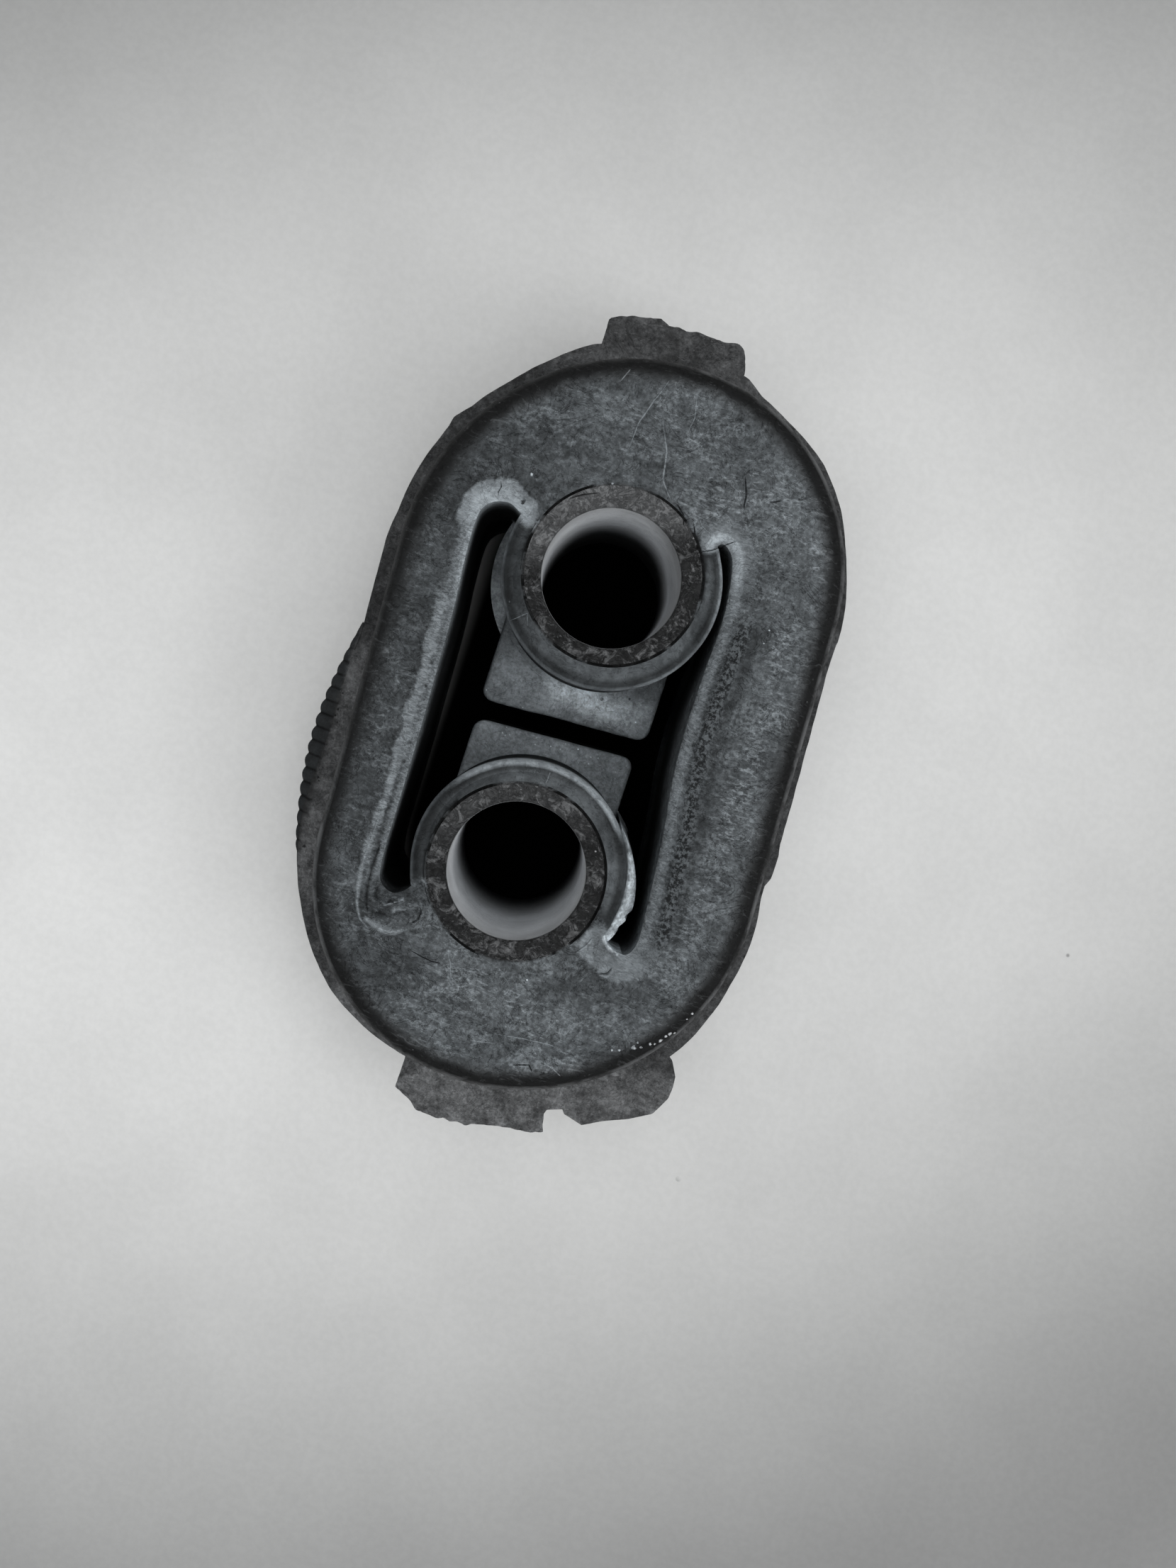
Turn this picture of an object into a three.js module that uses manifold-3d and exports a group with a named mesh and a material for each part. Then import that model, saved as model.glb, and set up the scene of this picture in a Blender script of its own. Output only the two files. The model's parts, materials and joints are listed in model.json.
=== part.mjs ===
// Exhaust hanger rubber: one moulding in black rubber. A racetrack band carries two bored hubs, one
// grown to each end, with two bump pads between them. The flash of the parting line runs all round
// it, hand trimmed, with torn gate tabs at both ends and a swelling on the left.
// Millimetres. The bores lie on a line along Y, Z points out of the upper face, and z = 0 is the
// plane of the lower collars.
import * as THREE from 'three';
import { mergeVertices } from 'three/addons/utils/BufferGeometryUtils.js';
import Module from 'manifold-3d';

const wasm = await Module();
wasm.setup();

// Heights
const overallHeight = 32;
const collarHeight = 0.3;
const flashThickness = 1.3;
const flashEdgeRise = 0.4;
const flashTopBevel = 0.15;
const flashBottomBevel = 0.3;

// Bores and hubs
const boreDiameter = 12;
const boreSpacing = 26.4;
const boreMouthChamfer = 0.3;
const collarDiameter = 15.3;
const grooveWidth = 0.4;
const grooveDepth = 0.4;
const hubDiameter = 19.2;
const hubEdgeRadius = 1.1;
const hubRingFall = 0.4;

// Band
const bandWidth = 38.4;
const bandLength = 65;
const bandCentre = new THREE.Vector2(1.3, 0.2);
const bandEdgeRadius = 1.8;
const draft = 0.25;

// Set of the aged rubber: how far its long sides and its ends have leaned, as slopes
const sideLean = -0.039;
const endLean = 0.096;
const gapLean = 0.055;

// Slots between band and hubs
const leftWall = 5.7;
const rightWall = 10.3;
const slotEndWidth = 4;
const upperLeftReach = 3.5;
const lowerLeftReach = 5.2;
const lowerRightReach = 4.2;
const upperRightReach = 5.9;
const slotChamferWidth = 1.2;
const slotChamferDepth = 0.9;
const mouldMismatch = 0.35;

// Bump pads
const upperPadWidth = 16.3;
const lowerPadWidth = 15.7;
const padGap = 1.85;
const padGapCentre = -0.63;
const padCornerRadius = 1.1;
const padEdgeRadius = 0.4;

// Flash of the hubs, thrown to one side where the mould halves stood out of line
const hubFlashReach = 0.55;
const upperFlashShift = new THREE.Vector2(-0.45, 0.05);
const lowerFlashShift = new THREE.Vector2(1.05, -1.1);

// Swelling under the flash on the left side: it leans out to a crest and falls back to the band
const swellTop = 3.3;
const swellBottom = -21;
const swellHeight = 4;
const swellCrestDrop = 1.8;
const swellCrestHeight = 0.8;
const swellRootReach = 2.9;
const swellSeat = 4;
const swellReach = 2.1;
const serrationPitch = 1.35;
const serrationDepth = 0.25;

// Derived places
const partingZ = overallHeight / 2;
const hubY = boreSpacing / 2;
const boreRadius = boreDiameter / 2;
const hubRadius = hubDiameter / 2;
const collarRadius = collarDiameter / 2;
const halfWidth = bandWidth / 2;
const halfStraight = bandLength / 2 - halfWidth;
const leftRim = bandCentre.x - halfWidth + leftWall;
const rightRim = bandCentre.x + halfWidth - rightWall;
const overrun = 1;
const sides = [1, -1];

// Steps and points of the curves
const circlePoints = 60;
const bandPoints = 108;
const flashPoints = 150;
const cavityPoints = 120;
const arcSteps = 3;
const padEdgeSteps = 2;
const padCornerSteps = 5;
const toothSteps = 6;

// Height at a depth under the upper face (side 1) or over the lower one (side -1)
const level = (side, depth) => (side > 0 ? overallHeight - depth : depth);

// Outlines

function circle(radius, y, x = 0) {
  return Array.from({ length: circlePoints }, (_, i) => {
    const angle = (i / circlePoints) * 2 * Math.PI;
    return new THREE.Vector2(x + radius * Math.cos(angle), y + radius * Math.sin(angle));
  });
}

function smooth(points, count) {
  const knots = points.map(([x, y]) => new THREE.Vector3(x, y, 0));
  const curve = new THREE.CatmullRomCurve3(knots, true, 'centripetal');
  return curve.getSpacedPoints(count).slice(0, count).map((p) => new THREE.Vector2(p.x, p.y));
}

// Moves each point out along its normal, by one distance or by a function of the point
function grown(outline, reach) {
  const last = outline.length;
  return outline.map((point, i) => {
    const along = outline[(i + 1) % last].clone().sub(outline[(i + last - 1) % last]).normalize();
    const by = typeof reach === 'function' ? reach(point, i) : reach;
    return new THREE.Vector2(point.x + along.y * by, point.y - along.x * by);
  });
}

// Racetrack of the band, leaned as the rubber has set
function bandOutline(count) {
  const points = [];
  const arc = count / 3;
  const straight = count / 6;
  for (const end of sides) {
    for (let i = 0; i < arc; i += 1) {
      const angle = (i / arc) * Math.PI + (end > 0 ? 0 : Math.PI);
      points.push([halfWidth * Math.cos(angle), halfWidth * Math.sin(angle) + end * halfStraight]);
    }
    for (let i = 0; i < straight; i += 1) {
      points.push([-end * halfWidth, end * halfStraight * (1 - (2 * i) / straight)]);
    }
  }
  return points.map(([x, y]) => new THREE.Vector2(x + sideLean * y, y + endLean * x).add(bandCentre));
}

// Knots of a slot's wall: across from its rim in shares of slotEndWidth, and along from a height in
// shares of a reach
const slotWall = (rim, y, reach, knots) =>
  knots.map(([across, along]) => [rim + across * slotEndWidth, y + along * reach]);

// Void between band and hubs: down the left slot, then up the right one. Its four ends turn in beside
// the hubs, which hide the corners between them.
function cavityOutline() {
  return smooth([
    ...slotWall(leftRim, hubY, upperLeftReach, [
      [1, 0.66], [0.75, 0.86], [0.48, 1], [0.15, 0.91], [-0.05, 0.66], [-0.1, 0.31],
    ]),
    ...slotWall(leftRim, 0, hubY, [[-0.06, 0.8], [0.03, 0.5], [0.1, 0], [0.15, -0.4], [0.18, -0.8]]),
    ...slotWall(leftRim, -hubY, -lowerLeftReach, [
      [0.23, 0.6], [0.33, 0.88], [0.65, 1], [0.88, 0.9], [1.15, 0.69],
    ]),
    ...slotWall(rightRim, -hubY, -lowerRightReach, [
      [-0.45, 0.52], [-0.2, 0.86], [0.08, 1], [0.3, 0.98], [0.43, 0.76],
    ]),
    ...slotWall(rightRim, 0, hubY, [
      [0.41, -1], [0.34, -0.75], [0.23, -0.45], [0.06, -0.1], [-0.01, 0.25], [0, 0.6], [0.03, 0.95],
    ]),
    ...slotWall(rightRim, hubY, upperRightReach, [
      [-0.01, 0.27], [-0.11, 0.66], [-0.23, 0.88], [-0.48, 1], [-0.73, 0.85],
    ]),
  ], cavityPoints);
}

// How far the trimmed flash stands out of the band, by the bearing from the band's centre in degrees
const flashReach = [
  [0, 2.7], [18, 2.6], [35, 2.5], [41, 2.7], [50, 2.7], [54, 2.8], [59, 3.2], [66, 3.5], [74, 3.3],
  [79, 3.5], [82, 4.2], [104, 4.4], [111, 3.7], [117, 3.3], [124, 3.2], [127, 3.5], [128.5, 3.2],
  [131, 3.0], [145, 2.6], [150, 2.8], [174, 2.7], [180, 2.9], [200, 3.1], [218, 3.6], [233, 3.3],
  [247, 3.6], [261, 3.2], [284, 4.6], [299, 4.3], [304, 4.1], [308, 3.8], [316, 3.2], [324, 2.9],
  [332, 2.4], [335, 2.4], [337, 2.8], [343, 2.9], [346, 2.7], [360, 2.7],
];

function reachAt(point) {
  const turn = Math.atan2(point.y - bandCentre.y, point.x - bandCentre.x) / (2 * Math.PI);
  const bearing = (turn - Math.floor(turn)) * 360;
  const next = Math.max(1, flashReach.findIndex(([angle]) => angle >= bearing));
  const [[a0, r0], [a1, r1]] = flashReach.slice(next - 1, next + 1);
  return THREE.MathUtils.mapLinear(bearing, a0, a1, r0, r1);
}

// Gate tabs: across the part, and out from the end of the band. A notch parts the lower tab from the
// lobe of flash beside it.
const upperTab = [
  [-7.5, -4], [-7.5, 5.0], [-6.9, 5.4], [-5.6, 5.9], [-4.4, 6.1], [-2.9, 6.5], [-2.0, 6.1], [-1.1, 6.3],
  [-0.2, 6.1], [0.6, 6.3], [3.5, 6.3], [4.8, 6.6], [5.5, 6.2], [6.2, 4.3], [6.6, -4],
];
const lowerTab = [
  [-4.5, -4], [-4.4, 5.8], [-2.7, 6.6], [-2.0, 7.3], [0.2, 7.4], [0.8, 7.2], [1.5, 7.4], [2.2, 7.2],
  [3.1, 7.4], [3.5, 7.0], [6.2, 6.4], [8.9, 6.1], [10.4, 5.7], [9.9, 4.0], [10.1, 3.5], [11.5, 3.0],
  [11.8, 3.4], [13.7, 3.9], [15.6, 2.9], [17.8, 2.0], [19.9, 0.8], [20.9, -1.1], [21.0, -2.2],
  [20.9, -3.3], [20.2, -4.6], [16, -8],
];

function tabOutline(tab, end) {
  const y = bandCentre.y + (end * bandLength) / 2;
  const points = tab.map(([x, out]) => new THREE.Vector2(x, y + end * out));
  return end > 0 ? points.reverse() : points;
}

// Solids

function toSolid(geometry) {
  const vertProperties = new Float32Array(geometry.getAttribute('position').array);
  const triVerts = new Uint32Array(geometry.getIndex().array);
  return new wasm.Manifold(new wasm.Mesh({ numProp: 3, vertProperties, triVerts }));
}

// Skin over a stack of outlines that have the same number of points, closed by a flat cap at each end
function loft(layers) {
  const stack = [...layers].sort((a, b) => a.z - b.z);
  const count = stack[0].outline.length;
  const positions = stack.flatMap(({ outline, z }) => outline.flatMap((p) => [p.x, p.y, z]));
  const index = [];
  for (let k = 0; k + 1 < stack.length; k += 1) {
    for (let i = 0; i < count; i += 1) {
      const a = k * count + i;
      const b = k * count + ((i + 1) % count);
      index.push(a, b, b + count, a, b + count, a + count);
    }
  }
  const top = (stack.length - 1) * count;
  const capOf = ({ outline }) => THREE.ShapeUtils.triangulateShape(outline, []);
  for (const [a, b, c] of capOf(stack[0])) index.push(a, c, b);
  for (const [a, b, c] of capOf(stack.at(-1))) index.push(top + a, top + b, top + c);
  const geometry = new THREE.BufferGeometry();
  geometry.setAttribute('position', new THREE.Float32BufferAttribute(positions, 3));
  geometry.setIndex(index);
  return toSolid(mergeVertices(geometry, 1e-5));
}

const prism = (outline, z0, z1) => loft([{ outline, z: z0 }, { outline, z: z1 }]);

// Layers of a rounded edge that starts at a depth under the face
function roundedEdge(outline, side, depth, radius) {
  return Array.from({ length: arcSteps + 1 }, (_, i) => {
    const angle = (i / arcSteps) * (Math.PI / 2);
    return {
      outline: grown(outline, -radius * (1 - Math.sin(angle))),
      z: level(side, depth + radius * (1 - Math.cos(angle))),
    };
  });
}

function bandSolid() {
  const outline = bandOutline(bandPoints);
  const edges = sides.flatMap((side) => roundedEdge(outline, side, collarHeight, bandEdgeRadius));
  return loft([...edges, { outline: grown(outline, draft), z: partingZ }]);
}

// Flash plate under the parting line, its edge nicked back a little above and below
function flashSolid() {
  const plate = (outline) => loft([
    { outline: grown(outline, -flashTopBevel), z: partingZ },
    { outline, z: partingZ - flashEdgeRise },
    { outline: grown(outline, -flashBottomBevel), z: partingZ - flashThickness },
  ]);
  const rim = grown(bandOutline(flashPoints), reachAt);
  return plate(rim).add(plate(tabOutline(upperTab, 1))).add(plate(tabOutline(lowerTab, -1)));
}

// Swelling with a scalloped crest: rounded teeth with sharp roots between them. A section reaches out
// by a share of the root and of the crest.
function swellSolid() {
  const length = swellTop - swellBottom;
  const steps = Math.round(length / serrationPitch) * toothSteps;
  const wall = (y) => bandCentre.x - halfWidth + sideLean * (y - bandCentre.y);
  const section = (root, crest) => {
    const outer = Array.from({ length: steps + 1 }, (_, i) => {
      const y = swellTop - (length * i) / steps;
      const hump = Math.sin((Math.PI * i) / steps);
      const notch = serrationDepth * (1 - Math.abs(Math.sin((Math.PI * i) / toothSteps)));
      const reach = root * swellRootReach + crest * hump * (swellReach - notch);
      return new THREE.Vector2(wall(y) - reach, y);
    });
    const inner = [swellBottom, swellTop].map((y) => new THREE.Vector2(wall(y) + swellSeat, y));
    return [...outer, ...inner];
  };
  const crestTop = partingZ - swellCrestDrop;
  return loft([
    { outline: section(1, 0), z: partingZ },
    { outline: section(1, 1), z: crestTop },
    { outline: section(1, 1), z: crestTop - swellCrestHeight },
    { outline: section(0, 0), z: partingZ - swellHeight },
  ]);
}

function cavitySolid() {
  const upper = cavityOutline();
  const lower = grown(upper, mouldMismatch);
  let cavity = prism(upper, partingZ, overallHeight + overrun)
    .add(prism(lower, -overrun, partingZ));
  for (const side of sides) {
    const outline = side > 0 ? upper : lower;
    const slope = slotChamferWidth / slotChamferDepth;
    const mouth = grown(outline, slope * (slotChamferDepth + overrun));
    cavity = cavity.add(loft([
      { outline, z: level(side, collarHeight + slotChamferDepth) },
      { outline: mouth, z: level(side, collarHeight - overrun) },
    ]));
  }
  return cavity;
}

function hubSolid(y) {
  const ringTop = collarRadius + grooveWidth;
  const edge = (side) => [
    { outline: circle(ringTop, y), z: level(side, collarHeight) },
    ...roundedEdge(circle(hubRadius, y), side, collarHeight + hubRingFall, hubEdgeRadius),
  ];
  return loft([...edge(1), { outline: circle(hubRadius + draft, y), z: partingZ }, ...edge(-1)]);
}

// Pad from inside its hub to the gap; v runs from the middle of the gap towards the hub
function padOutline(end) {
  const half = (end > 0 ? upperPadWidth : lowerPadWidth) / 2;
  const corner = padGap / 2 + padCornerRadius;
  const back = hubY - end * padGapCentre;
  const shape = new THREE.Shape();
  shape.moveTo(-half, back);
  shape.lineTo(-half, corner);
  shape.absarc(-half + padCornerRadius, corner, padCornerRadius, Math.PI, 1.5 * Math.PI, false);
  shape.absarc(half - padCornerRadius, corner, padCornerRadius, 1.5 * Math.PI, 2 * Math.PI, false);
  shape.lineTo(half, back);
  const points = shape.getPoints(padCornerSteps);
  const outline = points.map(({ x, y }) => new THREE.Vector2(x, padGapCentre + end * y + gapLean * x));
  const open = outline.filter((p, i) => i === 0 || p.distanceTo(outline[i - 1]) > 1e-6);
  return end > 0 ? open : open.reverse();
}

function padSolid(end) {
  const outline = padOutline(end);
  const rim = Array.from({ length: padEdgeSteps + 1 }, (_, i) => {
    const angle = (i / padEdgeSteps) * (Math.PI / 2);
    return {
      outline: grown(outline, -padEdgeRadius * (1 - Math.sin(angle))),
      z: partingZ - padEdgeRadius * (1 - Math.cos(angle)),
    };
  });
  return loft([...rim, { outline: grown(outline, -draft), z: collarHeight }]);
}

function hubFlashSolid(y, shift) {
  const outline = circle(hubRadius + draft + hubFlashReach, y + shift.y, shift.x);
  return prism(outline, partingZ - flashThickness, partingZ);
}

function collarGroove(y, side) {
  const floor = level(side, collarHeight + grooveDepth);
  const ring = (radius) => prism(circle(radius, y), level(side, -overrun), floor);
  return ring(collarRadius + grooveWidth).subtract(ring(collarRadius));
}

function boreSolid(y) {
  const mouth = (side) => [
    { outline: circle(boreRadius + boreMouthChamfer + overrun, y), z: level(side, -overrun) },
    { outline: circle(boreRadius, y), z: level(side, boreMouthChamfer) },
  ];
  return loft([...mouth(1), ...mouth(-1)]);
}

function hangerSolid() {
  let body = bandSolid().add(flashSolid()).add(swellSolid()).subtract(cavitySolid());
  for (const end of sides) {
    const y = end * hubY;
    body = body.add(hubSolid(y)).add(padSolid(end));
    body = body.add(hubFlashSolid(y, end > 0 ? upperFlashShift : lowerFlashShift));
    body = body.add(prism(circle(collarRadius, y), level(-1, 0), level(1, 0)));
    body = body.subtract(collarGroove(y, 1)).subtract(collarGroove(y, -1));
    body = body.subtract(boreSolid(y));
  }
  return body;
}

function toGeometry(solid) {
  const { vertProperties, triVerts } = solid.getMesh();
  const geometry = new THREE.BufferGeometry();
  geometry.setAttribute('position', new THREE.Float32BufferAttribute(vertProperties, 3));
  geometry.setIndex(Array.from(triVerts));
  return geometry;
}

// The model stands with the middle of its outer box over the origin
const geometry = toGeometry(hangerSolid());
geometry.computeBoundingBox();
const middle = geometry.boundingBox.getCenter(new THREE.Vector3());
geometry.translate(-middle.x, -middle.y, 0);
geometry.computeVertexNormals();

const rubber = new THREE.MeshStandardMaterial({ color: 0x3b3e41, roughness: 0.82, metalness: 0 });
const hanger = new THREE.Mesh(geometry, rubber);
hanger.name = 'hanger_rubber';

const model = new THREE.Group();
model.add(hanger);

export default model;
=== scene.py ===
import json
import math

import bpy
import numpy as np
from mathutils import Matrix, Vector
from mathutils.geometry import delaunay_2d_cdt


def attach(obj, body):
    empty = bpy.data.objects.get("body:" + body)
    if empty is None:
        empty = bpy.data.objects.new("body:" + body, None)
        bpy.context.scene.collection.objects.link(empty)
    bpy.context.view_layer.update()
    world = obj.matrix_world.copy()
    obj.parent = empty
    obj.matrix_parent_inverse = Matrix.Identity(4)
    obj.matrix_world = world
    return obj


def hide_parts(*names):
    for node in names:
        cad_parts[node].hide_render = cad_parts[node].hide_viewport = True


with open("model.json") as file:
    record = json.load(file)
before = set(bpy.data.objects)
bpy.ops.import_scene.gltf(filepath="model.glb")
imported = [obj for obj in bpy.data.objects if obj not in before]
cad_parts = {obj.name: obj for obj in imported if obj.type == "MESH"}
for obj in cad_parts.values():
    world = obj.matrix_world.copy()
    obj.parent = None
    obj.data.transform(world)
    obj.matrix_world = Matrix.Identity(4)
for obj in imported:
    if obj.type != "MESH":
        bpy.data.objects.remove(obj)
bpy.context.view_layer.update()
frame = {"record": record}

MM = 0.001

# Heights
HEIGHT = 32.0
COLLAR_HEIGHT = 0.3
FACE = HEIGHT - COLLAR_HEIGHT
PARTING = HEIGHT / 2
FLASH_THICKNESS = 1.3

# Bores and hubs
BORE_RADIUS = 6.0
BORE_CHAMFER = 0.3
HUB_Y = 13.2
COLLAR_RADIUS = 7.63
GROOVE_WIDTH = 0.26
GROOVE_DEPTH = 0.3
HUB_EDGE_RADIUS = 1.1
RING_FALL = 0.55
# Circles of each hub: where the middle lies beside the bore's, and the radius
HUBS = (
    {
        "y": HUB_Y, "bore": (0, 0, BORE_RADIUS), "collar": (0.06, 0.3, COLLAR_RADIUS),
        "hub": (0.08, 0, 9.6), "flash": (-0.45, 0.05, 10.4),
    },
    {
        "y": -HUB_Y, "bore": (0, 0, BORE_RADIUS), "collar": (0, -0.1, COLLAR_RADIUS),
        "hub": (0.12, 0.25, 9.45), "flash": (1.05, -1.1, 10.4),
    },
)
LOWER_HUB = HUBS[1]

# Band
HALF_WIDTH = 19.2
HALF_STRAIGHT = 13.3
BAND_X, BAND_Y = 1.3, 0.2
EDGE_RADIUS = 1.8
SIDE_LEAN = -0.039
END_LEAN = 0.096
GAP_LEAN = 0.055

# Slots
LEFT_RIM = BAND_X - HALF_WIDTH + 5.7
RIGHT_RIM = BAND_X + HALF_WIDTH - 10.3
SLOT_END_WIDTH = 4.0
CHAMFER_DEPTH = 0.9
CHAMFER_WIDTH = 1.2
MISMATCH = 0.35

# Flash of the lower hub, torn and folded up against it as a ledge
LEDGE_INSET = 0.6
LEDGE_Z = 28.3

# Pads
PADS = ({"end": 1, "middle": 0.03, "half": 8.17}, {"end": -1, "middle": -0.15, "half": 7.8})
PAD_GAP = 1.85
PAD_GAP_Y = -0.63
PAD_CORNER = 1.1
PAD_EDGE = 0.4

# Swelling on the left
SWELL_TOP, SWELL_BOTTOM = 3.3, -21.0
SWELL_ROOT = 2.9
SWELL_REACH = 2.1
SWELL_SEAT = 4.0
SWELL_HEIGHT = 4.0
SERRATION_PITCH = 1.35
SERRATION_DEPTH = 0.24

# Spacing of the free points of the mesh, near the slots and collars and elsewhere
FINE_SPACING, COARSE_SPACING = 0.34, 0.52
FINE_ROUND_SLOTS = 2.6
FINE_ROUND_BORES = 8.2
SHARP_ANGLE = 38

record_boxes = {o["name"]: np.array(o["box_m"]) for o in frame["record"]["physics"]["openings"]}
bore_middle = (record_boxes["upper_bore"].mean(0) + record_boxes["lower_bore"].mean(0)) / 2 / MM


# Noise

def lattice(ix, iy, seed):
    """Repeatable value in -1 to 1 at each lattice point."""
    h = (ix.astype(np.int64) * 374761393 + iy.astype(np.int64) * 668265263 + seed * 974634777) & 0xFFFFFFFF
    h = ((h ^ (h >> 13)) * 1274126177) & 0xFFFFFFFF
    return ((h ^ (h >> 16)) & 0xFFFF) / 32767.5 - 1


def value_noise(x, y, size, seed):
    u, v = np.asarray(x) / size, np.asarray(y) / size
    ix, iy = np.floor(u), np.floor(v)
    fx, fy = u - ix, v - iy
    fx, fy = fx * fx * (3 - 2 * fx), fy * fy * (3 - 2 * fy)
    low = lattice(ix, iy, seed) * (1 - fx) + lattice(ix + 1, iy, seed) * fx
    high = lattice(ix, iy + 1, seed) * (1 - fx) + lattice(ix + 1, iy + 1, seed) * fx
    return low * (1 - fy) + high * fy


def fbm(x, y, size, seed, octaves=3):
    total, weight = 0, 0
    for k in range(octaves):
        total = total + value_noise(x, y, size / 2 ** k, seed + 17 * k) / 2 ** k
        weight += 1 / 2 ** k
    return total / weight


def ramp(value, low, high):
    t = np.clip((value - low) / (high - low), 0, 1)
    return t * t * (3 - 2 * t)


# Outlines, each an array of points in counterclockwise order

def circle(x, y, radius, spacing):
    count = max(24, int(2 * math.pi * radius / spacing))
    a = np.arange(count) / count * 2 * math.pi
    return np.c_[x + radius * np.cos(a), y + radius * np.sin(a)]


def stations(points):
    """Length along an open line at each of its points."""
    return np.r_[0, np.cumsum(np.hypot(*np.diff(points, axis=0).T))]


def resampled(outline, spacing):
    """The same closed outline with even steps of about the spacing."""
    closed = np.vstack([outline, outline[:1]])
    run = stations(closed)
    even = np.linspace(0, run[-1], int(run[-1] / spacing), endpoint=False)
    return np.c_[np.interp(even, run, closed[:, 0]), np.interp(even, run, closed[:, 1])]


def between(t, a, b, start, stop):
    return (stop - t) / (stop - start) * a + (t - start) / (stop - start) * b


def smooth(knots, spacing):
    """Closed centripetal Catmull-Rom curve through the knots."""
    p = np.array(knots, float)
    out = []
    for i in range(len(p)):
        p0, p1, p2, p3 = (p[(i + k) % len(p)] for k in (-1, 0, 1, 2))
        t1 = np.linalg.norm(p1 - p0) ** 0.5
        t2 = t1 + np.linalg.norm(p2 - p1) ** 0.5
        t3 = t2 + np.linalg.norm(p3 - p2) ** 0.5
        t = np.linspace(t1, t2, 40, endpoint=False)[:, None]
        middle = between(t, p1, p2, t1, t2)
        before = between(t, between(t, p0, p1, 0, t1), middle, 0, t2)
        after = between(t, middle, between(t, p2, p3, t2, t3), t1, t3)
        out.append(between(t, before, after, t1, t2))
    return resampled(np.vstack(out), spacing)


def normals(outline):
    along = np.roll(outline, -1, 0) - np.roll(outline, 1, 0)
    along /= np.linalg.norm(along, axis=1, keepdims=True)
    return np.c_[along[:, 1], -along[:, 0]]


def grown(outline, by):
    return outline + normals(outline) * np.reshape(by, (-1, 1))


def run_of(outline):
    """Length along the outline at each point."""
    return np.cumsum(np.hypot(*(outline - np.roll(outline, 1, 0)).T))


def band_outline(spacing):
    a = np.linspace(0, math.pi, 181)
    arc = np.c_[HALF_WIDTH * np.cos(a), HALF_WIDTH * np.sin(a) + HALF_STRAIGHT]
    track = np.vstack([arc, -arc])
    leaned = np.c_[track[:, 0] + SIDE_LEAN * track[:, 1], track[:, 1] + END_LEAN * track[:, 0]]
    return resampled(leaned + [BAND_X, BAND_Y], spacing)


# Walls of the slots: rim, y, reach, and knots across from the rim in shares of the slot end's width
# and along in shares of the reach
SLOT_WALLS = (
    (LEFT_RIM, HUB_Y, 3.5, (
        (1, 0.66), (0.75, 0.86), (0.48, 1), (0.15, 0.91), (-0.05, 0.66), (-0.1, 0.31),
    )),
    (LEFT_RIM, 0, HUB_Y, ((-0.06, 0.8), (0.03, 0.5), (0.1, 0), (0.15, -0.4), (0.18, -0.8))),
    (LEFT_RIM, -HUB_Y, -5.2, ((0.23, 0.6), (0.33, 0.88), (0.65, 1), (0.88, 0.9), (1.15, 0.69))),
    (RIGHT_RIM, -HUB_Y, -4.2, ((-0.45, 0.52), (-0.2, 0.86), (0.08, 1), (0.3, 0.98), (0.43, 0.76))),
    (RIGHT_RIM, 0, HUB_Y, (
        (0.41, -1), (0.34, -0.75), (0.23, -0.45), (0.06, -0.1), (-0.01, 0.25), (0, 0.6), (0.03, 0.95),
    )),
    (RIGHT_RIM, HUB_Y, 5.9, (
        (-0.01, 0.27), (-0.11, 0.66), (-0.23, 0.88), (-0.48, 1), (-0.73, 0.85),
    )),
)


def cavity_outline(spacing):
    """Void between band and hubs; its corners are hidden inside the hubs."""
    knots = [
        (rim + across * SLOT_END_WIDTH, y + along * reach)
        for rim, y, reach, wall in SLOT_WALLS for across, along in wall
    ]
    return smooth(knots, spacing)


# How far the trimmed flash stands out of the band, by bearing from the band's centre in degrees
FLASH_REACH = (
    (0, 2.7), (18, 2.6), (35, 2.5), (41, 2.7), (50, 2.7), (54, 2.8), (59, 3.2), (66, 3.5), (74, 3.3),
    (79, 3.5), (82, 4.2), (104, 4.4), (111, 3.7), (117, 3.3), (124, 3.2), (127, 3.5), (128.5, 3.2),
    (131, 3), (145, 2.6), (150, 2.8), (174, 2.7), (180, 2.9), (200, 3.1), (218, 3.6), (233, 3.3),
    (247, 3.6), (261, 3.2), (284, 4.6), (299, 4.3), (304, 4.1), (308, 3.8), (316, 3.2), (324, 2.9),
    (332, 2.4), (335, 2.4), (337, 2.8), (343, 2.9), (346, 2.7), (360, 2.7),
)

# Marks on the upper side: width in millimetres, then the points they run through
SCRATCHES = (
    (0.2, (0, 27.3), (1.2, 25), (1.6, 22.5), (3, 20.8)),
    (0.16, (-0.4, 31), (-1.2, 28.6), (-1.9, 26.4), (-2, 24.2)),
    (0.14, (-4.5, 29.2), (-3.8, 31)),
    (0.2, (-9, 15), (-8.7, 15.6), (-8.3, 16.4), (-8.2, 17.2), (-8.5, 17.8)),
    (0.14, (2, 30.8), (2.6, 28.4), (2.4, 27.2)),
    (0.13, (2.4, -27.3), (5, -26.9), (7.5, -26.7), (9.4, -27.2)),
    (0.12, (0.5, -28.5), (3, -28)),
    (0.14, (7, -28.3), (8.3, -28.6), (9.5, -29.2)),
    (0.13, (0.2, -3.8), (0.15, -4.6), (0.1, -5.5)),
    (0.1, (-0.5, -6.2), (-0.2, -6.9), (0.4, -7.2), (0.8, -6.8)),
    (0.12, (-3.6, -21.6), (-2.9, -22.6), (-2.6, -23.6), (-1.9, -24.2)),
    (0.1, (15.9, -7.4), (16.5, -6.1)),
    (0.1, (5.2, 20.9), (6.1, 19.8), (7.6, 19.4)),
    (0.1, (-7.4, 6.9), (-5.9, 8.2), (-5.5, 7)),
)
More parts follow.
